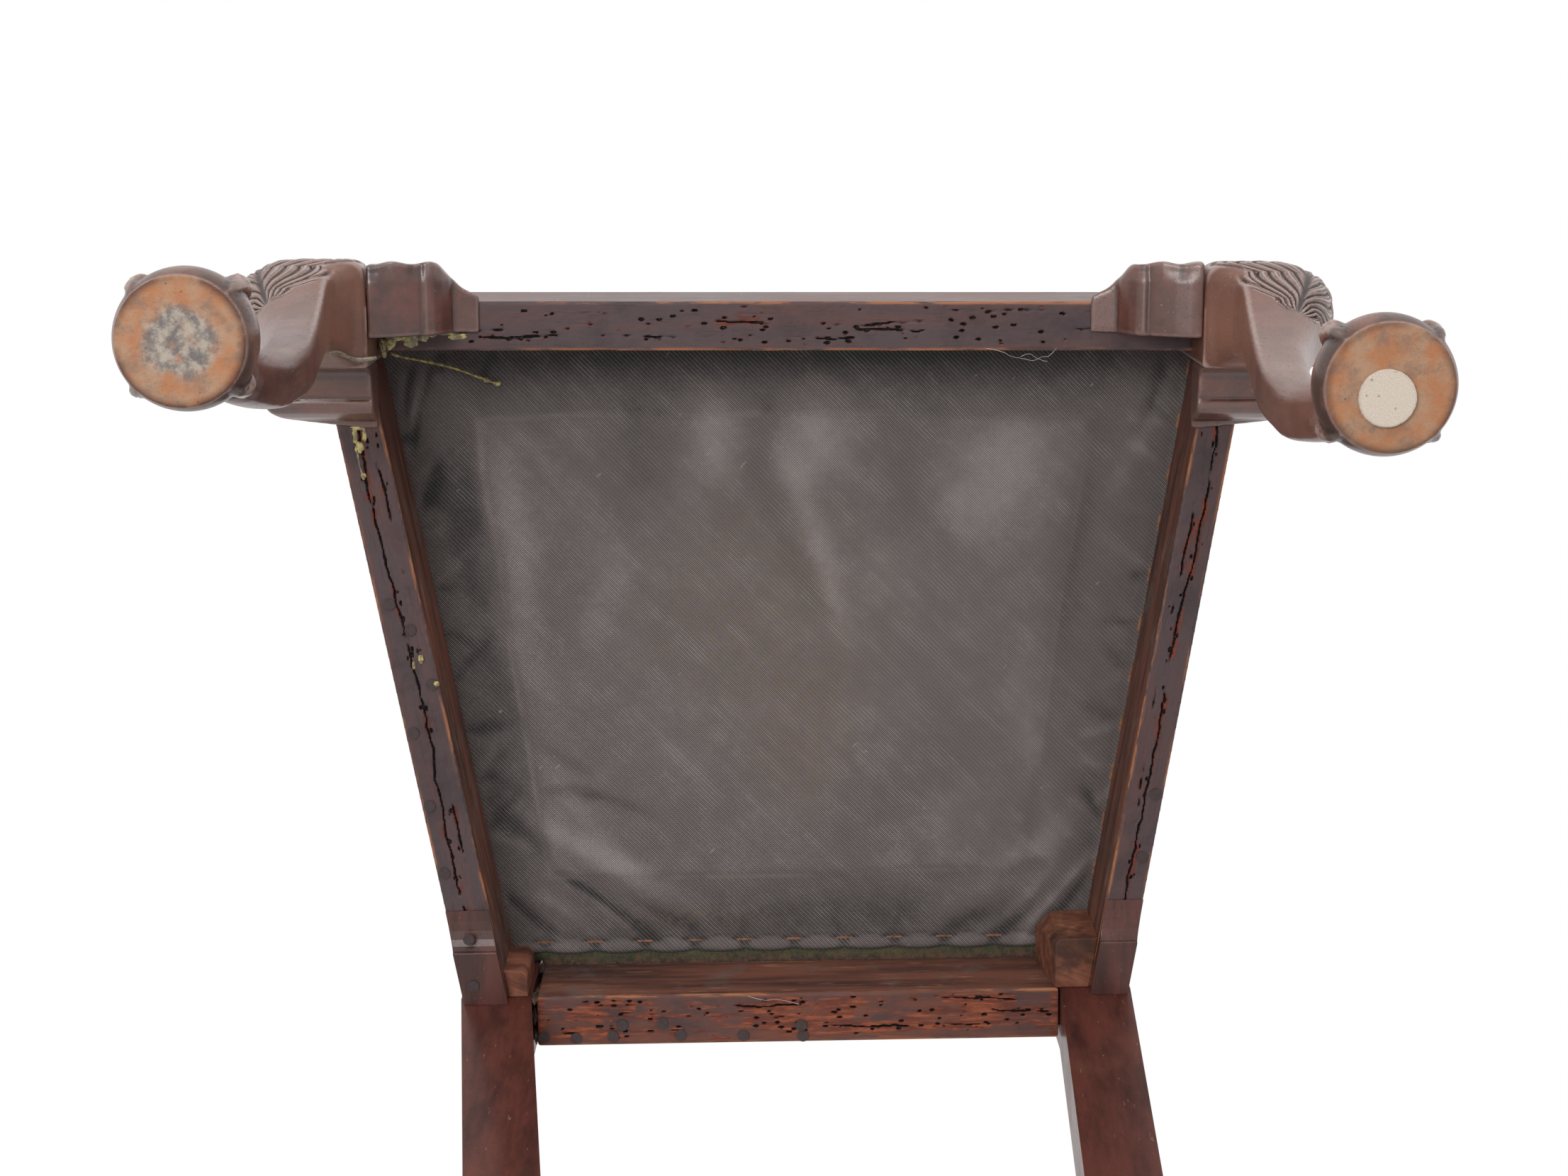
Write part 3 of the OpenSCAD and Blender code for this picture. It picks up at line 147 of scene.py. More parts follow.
def mahogany(
    name, grain, turn=0.0, shift=(0, 0, 0), drawn=(), roughness=0.38, sheen=0.45, redness=0.0, faded=0.0
):
    """Old polished mahogany with its grain along one axis. sheen is the strength of its polish, redness that
    of its bare underside and faded how brown it has gone. drawn names the values that the mesh carries, and
    each of them adds its own layer."""
    stretch = [9.0, 9.0, 9.0]
    stretch["XYZ".index(grain)] = 1.0
    material, f = new_finish(name)
    place = f.at((1, 1, 1), turn, shift)
    along = f.at(tuple(stretch), turn, shift)
    fine = f.at(tuple(3 * s if s > 1 else 1.0 for s in stretch), turn, shift)
    streak = f.cloud(along, 8, 6, 0.62)
    patina = f.cloud(place, 11, 5, 0.6)
    pore = f.cloud(fine, 60, 2, 0.5).between(0.62, 0.7)
    colour = f.mix((0.04, 0.012, 0.009), (0.1, 0.028, 0.02), streak.between(0.32, 0.66))
    colour = f.mix(colour, (0.16, 0.058, 0.035), patina.between(0.45, 0.75) * 0.6)
    colour = f.mix(colour, (0.25, 0.125, 0.088), f.cloud(place, 7, 4, 0.6).between(0.3, 0.6) * faded)
    colour = f.mix(colour, (0.022, 0.01, 0.009), pore * 0.45)
    speck = f.specks(place, 170, (0.1, 0.06), (0.87, 0.9))
    scratch = f.cloud(f.at((60, 60, 4), 0.3 + turn, shift), 9, 1, 0.4).between(0.74, 0.765)
    colour = f.mix(colour, (0.33, 0.2, 0.13), speck * 0.7 + scratch * 0.25)
    rough = roughness + patina.between(0.35, 0.75) * 0.16 + pore * 0.1
    height = streak * 0.3 - pore * 0.25
    coat = 0.22 - speck * 0.2
    if "under" in drawn:
        under = f.drawn("under")
        dirt = f.cloud(place, 30, 5, 0.65)
        bottom = f.mix((0.074, 0.051, 0.055), (0.1, 0.053, 0.048), streak.between(0.4, 0.7))
        bottom = f.mix(bottom, (0.115, 0.045, 0.033), 0.6 * redness)
        bottom = f.mix(bottom, (0.034, 0.025, 0.027), dirt.between(0.45, 0.7) * 0.6)
        warm = f.cloud(along, 13, 5, 0.7).between(0.62 - 0.22 * redness, 0.8 - 0.15 * redness)
        bottom = f.mix(bottom, (0.19, 0.058, 0.032), warm * 0.65)
        colour = f.mix(colour, bottom, under)
        rough += under * 0.12
        coat *= 1 - under
    if "inner" in drawn:
        inner = f.drawn("inner")
        side = f.mix((0.045, 0.02, 0.016), (0.17, 0.062, 0.038), streak.between(0.35, 0.66))
        side = f.mix(side, (0.34, 0.16, 0.085), f.cloud(along, 30, 3, 0.6).between(0.6, 0.7) * 0.6)
        side = f.mix(side, (0.13, 0.11, 0.1), f.cloud(place, 26, 4, 0.7).between(0.5, 0.68) * 0.45)
        colour = f.mix(colour, side, inner)
        rough += inner * 0.25
        coat *= 1 - inner
    if "bared" in drawn:
        bared, hole = f.drawn("bared"), f.drawn("hole")
        fibre = f.cloud(along, 45, 4, 0.7)
        raw = (0.18 + 0.2 * redness, 0.045 + 0.065 * redness, 0.026 + 0.024 * redness)
        fresh = f.mix((0.11, 0.026, 0.018), raw, fibre.between(0.38, 0.7))
        colour = f.mix(colour, fresh, bared * fibre.between(0.2, 0.55) * 0.9)
        colour = f.mix(colour, (0.004, 0.002, 0.002), hole.between(0.25, 0.6))
        rough += bared * 0.2 + hole * 0.3
        height += bared * fibre * 1.2
    if "edge" in drawn:
        edge = f.drawn("edge") * f.cloud(along, 24, 4, 0.7).between(0.46, 0.6)
        colour = f.mix(colour, (0.4, 0.16, 0.07), edge * 0.8)
        rough += edge * 0.2
    if "worn" in drawn:
        # Pale where the mesh bends outwards, wear with a painted highlight, and dark in its hollows, dirt
        # with painted shade.
        rubbed_and_highlit = f.drawn("worn") * f.cloud(place, 70, 4, 0.65).between(0.2, 0.5)
        colour = f.mix(colour, (0.38, 0.28, 0.25), rubbed_and_highlit * 0.7)
        colour = f.mix(colour, (0.012, 0.007, 0.006), f.drawn("grime_and_painted_shade") * 0.75)
    if "cut" in drawn:
        cut = f.drawn("cut")
        crown = f.drawn("crown") * f.cloud(place, 55, 3, 0.6).between(0.35, 0.6)
        colour = f.mix(colour, (0.012, 0.006, 0.005), cut * 0.85)
        # Painted highlight: the crowns between the cuts are made pale.
        colour = f.mix(colour, (0.34, 0.27, 0.25), crown * 0.6)
        rough += cut * 0.2
    if "sole" in drawn:
        sole, tacky = f.drawn("sole"), f.drawn("tacky")
        broad = f.cloud(place, 70, 4, 0.6).between(0.36, 0.64)
        bare = f.mix((0.44, 0.19, 0.09), (0.43, 0.26, 0.165), broad)
        bare = f.mix(bare, (0.24, 0.16, 0.12), f.cloud(place, 85, 5, 0.7).between(0.46, 0.68) * 0.75)
        pits = f.specks(place, 260, (0.16, 0.08), (0.8, 0.84))
        bare = f.mix(bare, (0.09, 0.05, 0.035), pits * 0.7)
        rim = f.drawn("rim") * f.cloud(place, 45, 3, 0.5).between(0.25, 0.5)
        bare = f.mix(bare, (0.07, 0.027, 0.02), rim)
        blotch = f.cloud(place, 170, 5, 0.65).between(0.36, 0.62)
        smear = f.mix((0.44, 0.39, 0.33), (0.15, 0.145, 0.145), blotch)
        bare = f.mix(bare, smear, tacky * f.cloud(place, 120, 3, 0.6).between(0.2, 0.5) * 0.9)
        shade = f.drawn("shade") * f.cloud(place, 40, 3, 0.5).between(0.3, 0.6)
        colour = f.mix(colour, (0.02, 0.012, 0.01), shade * 0.75)
        colour = f.mix(colour, bare, sole)
        rough = rough * (1 - sole) + sole * 0.75
        coat *= 1 - sole
        height += sole * f.cloud(place, 400, 4, 0.7) * 0.8
    f.surface(colour, rough, height, 0.0004, Coat_Weight=coat, Coat_Roughness=0.2, Specular_IOR_Level=sheen)
    return material


def picked(piece):
    """Makes the piece the only selected object and the active one."""
    bpy.ops.object.select_all(action="DESELECT")
    piece.select_set(True)
    bpy.context.view_layer.objects.active = piece
    return piece


def taken_from(node, name):
    """A copy of a CAD node's mesh, with its loose triangles joined, to be worked further."""
    piece = bpy.data.objects.new(name, nodes[node].data.copy())
    bpy.context.collection.objects.link(piece)
    picked(piece)
    bpy.ops.object.mode_set(mode="EDIT")
    bpy.ops.mesh.select_all(action="SELECT")
    bpy.ops.mesh.remove_doubles(threshold=1e-5)
    bpy.ops.mesh.customdata_custom_splitnormals_clear()
    bpy.ops.object.mode_set(mode="OBJECT")
    return piece


def worked(piece, kind, **settings):
    """Adds a modifier with its settings and applies it."""
    modifier = picked(piece).modifiers.new(kind, kind)
    for name, value in settings.items():
        setattr(modifier, name, value)
    bpy.ops.object.modifier_apply(modifier=modifier.name)


def points_of(piece):
    """The piece's vertices, one row each."""
    points = np.empty(len(piece.data.vertices) * 3)
    piece.data.vertices.foreach_get("co", points)
    return points.reshape(-1, 3)


def set_points(piece, points):
    piece.data.vertices.foreach_set("co", points.ravel())
    piece.data.update()


def draw(piece, name, values, domain="POINT"):
    """Stores a value for each vertex, for the material to read, or for each edge."""
    stored = piece.data.attributes.new(name, "FLOAT", domain)
    stored.data.foreach_set("value", np.asarray(values, np.float32))


def rise(x, low, high):
    """0 below low, 1 above high and a smooth rise between them."""
    t = np.clip((x - low) / (high - low), 0, 1)
    return t * t * (3 - 2 * t)


def finer(piece, chosen):
    """Splits the faces whose centres are chosen."""
    picked(piece)
    bpy.ops.object.mode_set(mode="EDIT")
    bpy.ops.mesh.select_mode(type="FACE")
    bpy.ops.mesh.select_all(action="DESELECT")
    bpy.ops.object.mode_set(mode="OBJECT")
    centres = np.array([p.center for p in piece.data.polygons])
    piece.data.polygons.foreach_set("select", chosen(centres))
    bpy.ops.object.mode_set(mode="EDIT")
    bpy.ops.mesh.subdivide(number_cuts=1)
    bpy.ops.object.mode_set(mode="OBJECT")


def noise_at(places):
    """Soft noise of about -1 to 1 at each place."""
    return np.array([noise.noise(Vector(place)) for place in places])


def noises(points, scale, shift):
    """The same noise over a plane, with scale features to the metre each way."""
    return noise_at([(p[0] * scale[0] + shift, p[1] * scale[1], shift) for p in points])


def holes(points, cell, shift):
    """Distance to the nearest worm hole, in cells that are longer along the grain."""
    return np.array([
        noise.voronoi(Vector((p[0] / cell[0] + shift, p[1] / cell[1], shift)))[0][0] for p in points
    ])


def eaten_rail(node, name, turn, shift, inner_at, seams, bores, bared_share):
    """A rail with worm-eaten underside. turn is its grain's direction from +X and inner_at the place of its
    inner face across the grain. Each seam is a cracked line: (place from the middle, wander, open share).
    bores and bared_share raise how much is bored and bared."""
    piece = taken_from(node, name)
    worked(piece, "REMESH", mode="VOXEL", voxel_size=0.0013, adaptivity=0.0)
    lowest = RAIL_Z + 0.0004
    finer(piece, lambda c: c[:, 2] < lowest)
    points = points_of(piece)
    run = np.array([math.cos(turn), math.sin(turn)])
    across = np.array([-math.sin(turn), math.cos(turn)])
    u, v = points[:, :2] @ run, points[:, :2] @ across
    under = points[:, 2] < lowest
    spot = np.stack([u[under], v[under]], 1)
    outer_at = v.max() if inner_at < v.mean() else v.min()
    off_middle = spot[:, 1] - (inner_at + outer_at) / 2
    crack, near = np.zeros(len(spot)), np.zeros(len(spot))
    for n, (place, wander, share) in enumerate(seams):
        line = noises(spot, (9, 0), shift + 5 * n) + 0.35 * noises(spot, (55, 0), shift + 5 * n + 1)
        gap = np.abs(off_middle - place - wander * (line + 0.15 * noises(spot, (210, 60), shift + n)))
        parted = noises(spot, (24, 0), shift + 7 * n + 2) + 0.4 * noises(spot, (120, 0), shift + n)
        is_open = rise(parted, 0.25 - share, 0.5 - share)
        wide = CRACK_WIDTH * (1 + 0.9 * noises(spot, (140, 0), shift + 3 * n))
        crack = np.maximum(crack, (1 - rise(gap, 0.35 * wide, wide)) * is_open)
        near = np.maximum(near, (1 - rise(gap, 0.001, 0.0055)) * (0.35 + 0.65 * is_open))
    margin = np.minimum(np.abs(spot[:, 1] - inner_at), np.abs(spot[:, 1] - outer_at))
    patch = noises(spot, (30, 70), shift + 3.1)
    cell = holes(spot, HOLE_CELL, shift) + 0.07 * noises(spot, (500, 900), shift)
    eaten = rise(near * 0.8 + 0.7 * patch + bores, 0.5, 0.62) * rise(margin, 0.002, 0.004)
    bore = (1 - rise(cell, 0.17, 0.27)) * eaten
    hole = np.maximum(crack, bore)
    fray = noises(spot, (90, 330), shift + 9.2)
    bared = rise(near * 0.9 + 0.6 * patch + 0.45 * fray + bared_share, 0.75, 1.05)
    bared *= rise(margin, 0.001, 0.003)
    if node == "rear_rail":
        from_end = np.minimum(spot[:, 0] - spot[:, 0].min(), spot[:, 0].max() - spot[:, 0])
        bared = np.maximum(bared, 1 - rise(from_end + 0.002 * fray, 0.002, 0.006))
    points[under, 2] += HOLE_DEPTH * hole + FIBRE_DEPTH * bared
    points[under, 2] += WAVE_DEPTH * (1 + noises(spot, (300, 300), shift))
    depth = np.abs(v - inner_at)
    set_points(piece, points)
    draw(piece, "under", rise(-points[:, 2], -RAIL_Z - 0.003, -RAIL_Z - 0.0006))
    raw_face = (depth < 0.0009) * (points[:, 2] < LEDGE_Z + 0.001) * (points[:, 2] > RAIL_Z + 0.0008)
    draw(piece, "inner", raw_face * (0.25 + 0.75 * rise(points[:, 1], -0.18, -0.155)))
    low = 1 - rise(points[:, 2] - RAIL_Z, 0.001, 0.003)
    draw(piece, "edge", (1 - rise(np.minimum(depth, np.abs(v - outer_at)), 0.0008, 0.0022)) * low)
    bared = np.maximum(bared, 0.6 * (1 - rise(cell, 0.2, 0.36)) * (bore > 0))
    for key, values in (("hole", hole), ("bared", bared)):
        whole = np.zeros(len(points))
        whole[under] = values
        draw(piece, key, whole)
    bpy.ops.object.shade_smooth_by_angle(angle=math.radians(50))
    return piece


def side_across(x, y, turn):
    """How far a place lies across a grain of that direction."""
    return -math.sin(turn) * x + math.cos(turn) * y


MID_Y = 0.2561878
LEFT_TURN = math.pi / 2 - SIDE_TURN
RIGHT_TURN = math.pi / 2 + SIDE_TURN
FRONT_SEAMS = ((-0.008, 0.003, 0.05), (-0.003, 0.004, 0.12), (0.002, 0.003, 0.02), (0.007, 0.003, 0.08))
REAR_SEAMS = ((-0.009, 0.003, 0.05), (-0.002, 0.004, 0.15), (0.006, 0.004, 0.2))
LEFT_SEAMS = ((0.001, 0.005, 0.75), (-0.005, 0.003, 0.2))
RIGHT_SEAMS = ((-0.001, 0.005, 0.75), (0.004, 0.003, 0.25))
RAIL_DRAWN = ("under", "inner", "bared", "edge")
for node, turn, shift, inner_at, seams, bores, bared in (
    ("front_rail", FRONT_TURN, 1.3, side_across(0, 0.029 - MID_Y, FRONT_TURN), FRONT_SEAMS, 0.34, -0.2),
    ("rear_rail", 0.0, 4.7, 0.428 - MID_Y, REAR_SEAMS, 0.46, 0.66),
    ("side_rail_left", LEFT_TURN, 8.9, side_across(-0.253, -MID_Y, LEFT_TURN), LEFT_SEAMS, 0.0, -0.12),
    ("side_rail_right", RIGHT_TURN, 12.1, side_across(0.257, -MID_Y, RIGHT_TURN), RIGHT_SEAMS, 0.05, -0.05),
):
    piece = eaten_rail(node, node + "_worn", turn, shift, inner_at, seams, bores, bared)
    redness = 1.0 if node == "rear_rail" else 0.1
    finish_with(piece, mahogany(node + "_mahogany", "X", turn, (0.3, 0.1, 0), RAIL_DRAWN, 0.45, 0.3, redness))
    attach(piece, "chair")
    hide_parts(node)

# Front legs
# Each front leg is one piece of mahogany with acanthus leaves carved on the knee and a ball-and-claw
# foot. It is polished and worn, with dark cuts in the carving and a painted highlight on the crests
# between them; its edges and claws carry a painted highlight besides their wear, and its hollows dirt
# and painted shade. The sole is raw, with old glue on the left.

FOOT = {-1: (-0.27746, -0.27364, 0.0), 1: (0.27484, -0.24327, 0.0025)}
CARVE_DEPTH, LEAF_LENGTH, HEAD_X, HEAD_Y = 0.0016, 0.115, 0.256, 0.022 - MID_Y


def turned_about_front(x, y, back=1):
    """A place in the chair's frame, turned with the front assembly or back out of that turn."""
    c, s = math.cos(back * FRONT_TURN), math.sin(back * FRONT_TURN)
    return x * c - (y + MID_Y) * s, x * s + (y + MID_Y) * c - MID_Y


def normals_of(piece):
    """The outward direction at each vertex."""
    normals = np.empty(len(piece.data.vertices) * 3)
    piece.data.vertices.foreach_get("normal", normals)
    return normals.reshape(-1, 3)


def edge_ends(piece):
    """The two vertices of each edge."""
    ends = np.empty(len(piece.data.edges) * 2, int)
    piece.data.edges.foreach_get("vertices", ends)
    return ends.reshape(-1, 2)


def draw_wear_and_painted_light(piece, share=1.0):
    """Draws where the surface bends outwards, pale with wear and a painted highlight,
    and inwards, dark with dirt and painted shade.
    """
    a, b = edge_ends(piece).T
    normals, points = normals_of(piece), points_of(piece)
    run, turn = points[b] - points[a], normals[b] - normals[a]
    bend = (run * turn).sum(1) / np.maximum((run * run).sum(1), 1e-12)
    count = np.bincount(a, minlength=len(points)) + np.bincount(b, minlength=len(points))
    for _ in range(4):
        at_point = np.bincount(a, bend, len(points)) + np.bincount(b, bend, len(points))
        at_point /= np.maximum(count, 1)
        bend = (at_point[a] + at_point[b]) / 2
    # Pale on outward bends: wear and a painted highlight. Dark in hollows: dirt and painted shade.
    draw(piece, "worn", rise(at_point, 62, 125) * share)
    draw(piece, "grime_and_painted_shade", rise(-at_point, 12, 70) * (0.4 + 0.6 * share))


def bell(x, width):
    """1 at zero, falling off smoothly to both sides."""
    return np.exp(-((x / width) ** 2))


def carve_leaf(points, side):
    """Depth of cut and crest of the acanthus strokes at each point of a knee, outside its sharp corner."""
    x, y = turned_about_front(points[:, 0], points[:, 1], -1)
    out_x, out_y = side * x - HEAD_X, HEAD_Y - y
    angle = np.arctan2(out_y, out_x) - math.pi / 4
    reach = np.hypot(out_x, out_y)
    down = (RAIL_Z + 0.004 - points[:, 2]) / LEAF_LENGTH
    lobe = np.abs(np.sin(math.pi * 3.5 * np.clip(down, 0, 1) ** 0.8))
    width = np.deg2rad(74) * np.clip(1 - down, 0, 1) ** 0.6 * (0.78 + 0.22 * lobe)
    lie = np.abs(angle) / np.maximum(width, 0.02)
    low, high = rise(points[:, 2], 0.25, 0.262), rise(-points[:, 2], -0.3625, -0.3605)
    flow = 5.2 * lie ** 0.9 + 4.2 * down + 0.25 * np.sin(9 * down)
    tip = 0.74 + 0.26 * np.sin(math.pi * flow) ** 2
    leaf = (1 - rise(lie, tip - 0.05, tip + 0.05)) * low * high * rise(reach, 0.012, 0.02)
    groove = (1 - np.abs(np.sin(math.pi * flow))) ** 1.5
    fine = (1 - np.abs(np.sin(math.pi * flow * 3))) ** 2 * 0.5
    vein = bell(angle, 0.05)
    border = bell(lie - tip, 0.05) * low * high * (reach > 0.014)
    cut = np.clip(leaf * np.maximum(groove, np.maximum(fine, 0.9 * vein)) + 0.7 * border, 0, 1)
    crown = leaf * (1 - cut) * rise(np.abs(np.sin(math.pi * flow)), 0.7, 0.95)
    return cut, crown


def carved_leg(node, name, side):
    """A front leg with its carving cut in and its sole made flat; side is -1 for the left one."""
    piece = taken_from(node, name)
    worked(piece, "REMESH", mode="VOXEL", voxel_size=0.0012, adaptivity=0.0)
    worked(piece, "SMOOTH", factor=0.5, iterations=3)
    finer(piece, lambda c: (
        (c[:, 2] > 0.25) & (c[:, 2] < RAIL_Z) & (side * c[:, 0] > 0.262) & (c[:, 1] < 0.035 - MID_Y)
    ))
    points = points_of(piece)
    foot_x, foot_y, foot_z = FOOT[side]
    cut, crown = carve_leaf(points, side)
    points -= normals_of(piece) * (CARVE_DEPTH * cut)[:, None]
    points[:, 2] = np.maximum(points[:, 2], foot_z)
    sole = 1 - rise(points[:, 2], foot_z + 0.0004, foot_z + 0.0016)
    points[sole > 0.9, 2] = foot_z
    from_middle = np.hypot(points[:, 0] - foot_x, points[:, 1] - foot_y)
    set_points(piece, points)
    draw(piece, "cut", cut)
    # The crowns between the cuts carry a painted highlight.
    draw(piece, "crown", crown)
    draw(piece, "sole", sole)
    draw(piece, "rim", rise(from_middle, 0.0255, 0.0312) * (1 if side < 0 else 0.8))
    above = points[:, 2] - foot_z
    draw(piece, "shade", rise(above, 0.001, 0.003) * (1 - rise(above, 0.011, 0.019)))
    ragged = noise_at(points * (160, 160, 0) + (0, 0, 0.5))
    tacky = 1 - rise(from_middle + 0.004 * ragged, 0.0125, 0.0205)
    draw(piece, "tacky", tacky * (side < 0))
    draw_wear_and_painted_light(piece)
    bpy.ops.object.shade_smooth_by_angle(angle=math.radians(60))
    return piece


for side, hand in ((-1, "left"), (1, "right")):
    piece = carved_leg("front_leg_" + hand, "front_leg_%s_carved" % hand, side)
    name, layers = "leg_%s_mahogany" % hand, ("worn", "cut", "sole")
    finish_with(piece, mahogany(name, "Z", 0, (0.1 * side, 0, 0.2), layers, 0.3, 0.25, faded=0.6))
    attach(piece, "chair")
    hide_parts("front_leg_" + hand)

# Knee brackets
# Sawn mahogany brackets glued beside the knees, with a glossy curved underside. The front ones carry low
# carved bumps on their front edge, which run on from the leaves of the knee, with a painted highlight on
# the bumps' crests. Their edges carry a painted highlight besides their wear, and their hollows dirt and
# painted shade.

BUMP_PITCH, BUMP_OUT, BUMP_UP = 0.021, 0.0017, 0.0016
for side, hand in ((-1, "left"), (1, "right")):
    for kind in ("front", "side"):
        node = "%s_knee_bracket_%s" % (kind, hand)
        piece = taken_from(node, node + "_shaped")
        worked(piece, "REMESH", mode="VOXEL", voxel_size=0.0009, adaptivity=0.0)
        worked(piece, "SMOOTH", factor=0.5, iterations=16)
        points = points_of(piece)
        if kind == "front":
            x, y = turned_about_front(points[:, 0], points[:, 1], -1)
            wave = math.pi * (np.abs(x) - 0.17) / BUMP_PITCH + 0.7 * side
            face = 1 - rise(y - y.min(), 0.004, 0.011)
            bump = np.sin(wave) ** 2 * face * (1 - rise(points[:, 2], 0.345, 0.358))
            cut = face * (1 - rise(np.abs(np.sin(wave)), 0.1, 0.35)) * 0.7
            points[:, 1] -= BUMP_OUT * bump
            points[:, 2] += BUMP_UP * face * np.abs(np.cos(wave)) * (points[:, 2] < 0.356)
        else:
            bump = cut = np.zeros(len(points))
        draw(piece, "cut", cut)
        # The bumps' crests carry a painted highlight.
        draw(piece, "crown", bump * 0.3)
        set_points(piece, points)
        draw_wear_and_painted_light(piece, 0.22)
        bpy.ops.object.shade_smooth_by_angle(angle=math.radians(50))
        name, layers = node + "_mahogany", ("worn", "cut")
        finish_with(piece, mahogany(name, "Z", 0, (0.2, 0.4 * side, 0.1), layers, 0.26, 0.65, faded=0.2))
        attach(piece, "chair")
        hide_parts(node)

# Posts, back and blocks
# Rear posts, crest rail, pierced splat, shoe and the thin brackets under the side rails, all polished
# mahogany with slightly worn edges, and two blocks of old wood glued into the rear corners.


def worn_edges(node, width):
    """Rounds the edges of a CAD node a little, in its shown form alone."""
    piece = nodes[node]
    piece.modifiers.new("weld", "WELD").merge_threshold = 1e-5
    bevel = piece.modifiers.new("worn", "BEVEL")
    bevel.width = width
    bevel.segments = 2
    bevel.limit_method = "ANGLE"
    bevel.angle_limit = math.radians(32)
    bevel.harden_normals = False
    return piece


for node, grain, width in (
    ("rear_post_left", "Z", 0.0012),
    ("rear_post_right", "Z", 0.0012),
    ("crest_rail", "X", 0.0012),
    ("splat", "Z", 0.0006),
    ("splat_shoe", "X", 0.0008),
    ("rear_bracket_left", "Y", 0.0007),
    ("rear_bracket_right", "Y", 0.0007),
):
    piece = worn_edges(node, width)
    roughness, sheen = (0.38, 0.15) if "post" in node else (0.32, 0.35)
    finish_with(piece, mahogany(node + "_mahogany", grain, 0, (0.5, 0.2, 0.3), (), roughness, sheen))

for node, tone in (("corner_block_left", 0.0), ("corner_block_right", 0.35)):
    piece = worn_edges(node, 0.0009)
    material, f = new_finish(node + "_wood")
    place = f.at()
    streak = f.cloud(f.at((2, 9, 9), 0.4), 14, 6, 0.65)
    base = (0.11 + 0.03 * tone, 0.035 + 0.012 * tone, 0.022)
    colour = f.mix(base, (0.26, 0.1, 0.06), streak.between(0.35, 0.7))
    pale = f.cloud(place, 60, 5, 0.7).between(0.55, 0.72)
    colour = f.mix(colour, (0.38, 0.19, 0.09), pale * (0.3 + 0.7 * tone))
    colour = f.mix(colour, (0.02, 0.013, 0.01), f.cloud(place, 24, 4, 0.6).between(0.52, 0.68) * 0.7)
    height = streak + f.cloud(place, 240, 3, 0.6) * 0.4
    f.surface(colour, streak * 0.3 + 0.5, height, 0.0006, Specular_IOR_Level=0.25)
    finish_with(piece, material)

# Nails and foot pad
# Old iron nails with dark flat heads, and a disc of pale felt glued under the right front foot, which is
# why that leg is shorter by the felt's thickness.

for node in ("rear_rail_nails", "side_rail_nails_left", "side_rail_nails_right", "rear_bracket_nails"):
    piece = worn_edges(node, 0.0003)
    material, f = new_finish(node + "_iron")
    rust = f.cloud(f.at(), 420, 5, 0.7)
    colour = f.mix((0.05, 0.039, 0.041), (0.058, 0.027, 0.02), rust.between(0.45, 0.65))
    f.surface(colour, rust * 0.3 + 0.45, rust, 0.0003, Metallic=0.1, Specular_IOR_Level=0.3)
    finish_with(piece, material)

bpy.ops.object.select_all(action="DESELECT")
PAD_R, PAD_T, PAD_AT = 0.0135, 0.0025, (0.27276, -0.2388)
bpy.ops.mesh.primitive_cylinder_add(vertices=96, radius=PAD_R, depth=PAD_T, location=(0, 0, 0))
felt = bpy.context.object
felt.name = "felt_disc"
worked(felt, "BEVEL", width=0.0006, segments=3, limit_method="ANGLE", angle_limit=1.0)
worked(felt, "REMESH", mode="VOXEL", voxel_size=0.0004, adaptivity=0.0)
points = points_of(felt)
rim = rise(np.hypot(points[:, 0], points[:, 1]), 0.012, PAD_R)
points[:, :2] *= (1 + 0.018 * noise_at(points * 500) * rim - 0.004)[:, None]
points[:, 2] = np.clip(points[:, 2], -PAD_T / 2, PAD_T / 2)
set_points(felt, points + (*PAD_AT, PAD_T / 2))
draw(felt, "rim", rim)
bpy.ops.object.shade_smooth_by_angle(angle=math.radians(60))
material, f = new_finish("pressed_felt")
fluff = f.cloud(f.at(), 1500, 4, 0.8)
colour = f.mix((0.6, 0.5, 0.41), (0.8, 0.69, 0.58), fluff.between(0.3, 0.7))
spots = f.specks(f.at(), 300, (0.32, 0.14), (0.66, 0.7))
# Dark spots of dirt, and painted shade that darkens the rim.
colour = f.mix(colour, (0.22, 0.18, 0.15), spots * 0.6 + f.drawn("rim") * 0.25)
f.surface(colour, 0.95, fluff, 0.0003)
finish_with(felt, material)
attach(felt, "chair")
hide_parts("foot_pad")

# Seat frame and webbing
# Four pine members halved over each other. Strips of jute webbing are stretched over them both ways, woven
# over and under at each crossing, and tacked. All of it is closed in by the two covers.

for node, grain in (
    ("slip_frame_front", (1, 12, 12)),
    ("slip_frame_rear", (1, 12, 12)),
    ("slip_frame_left", (12, 1, 12)),
    ("slip_frame_right", (12, 1, 12)),
):
    material, f = new_finish(node + "_pine")
    ring = f.cloud(f.at(grain), 9, 5, 0.6)
    colour = f.mix((0.42, 0.24, 0.11), (0.62, 0.42, 0.22), ring.between(0.35, 0.65))
    f.surface(colour, 0.62, ring, 0.0003)
    finish_with(worn_edges(node, 0.0012), material)


def built(name, verts, faces):
    """A new object of that name and mesh, in the scene."""
    mesh = bpy.data.meshes.new(name)
    mesh.from_pydata(verts, [], faces)
    piece = bpy.data.objects.new(name, mesh)
    bpy.context.collection.objects.link(piece)
    return picked(piece)


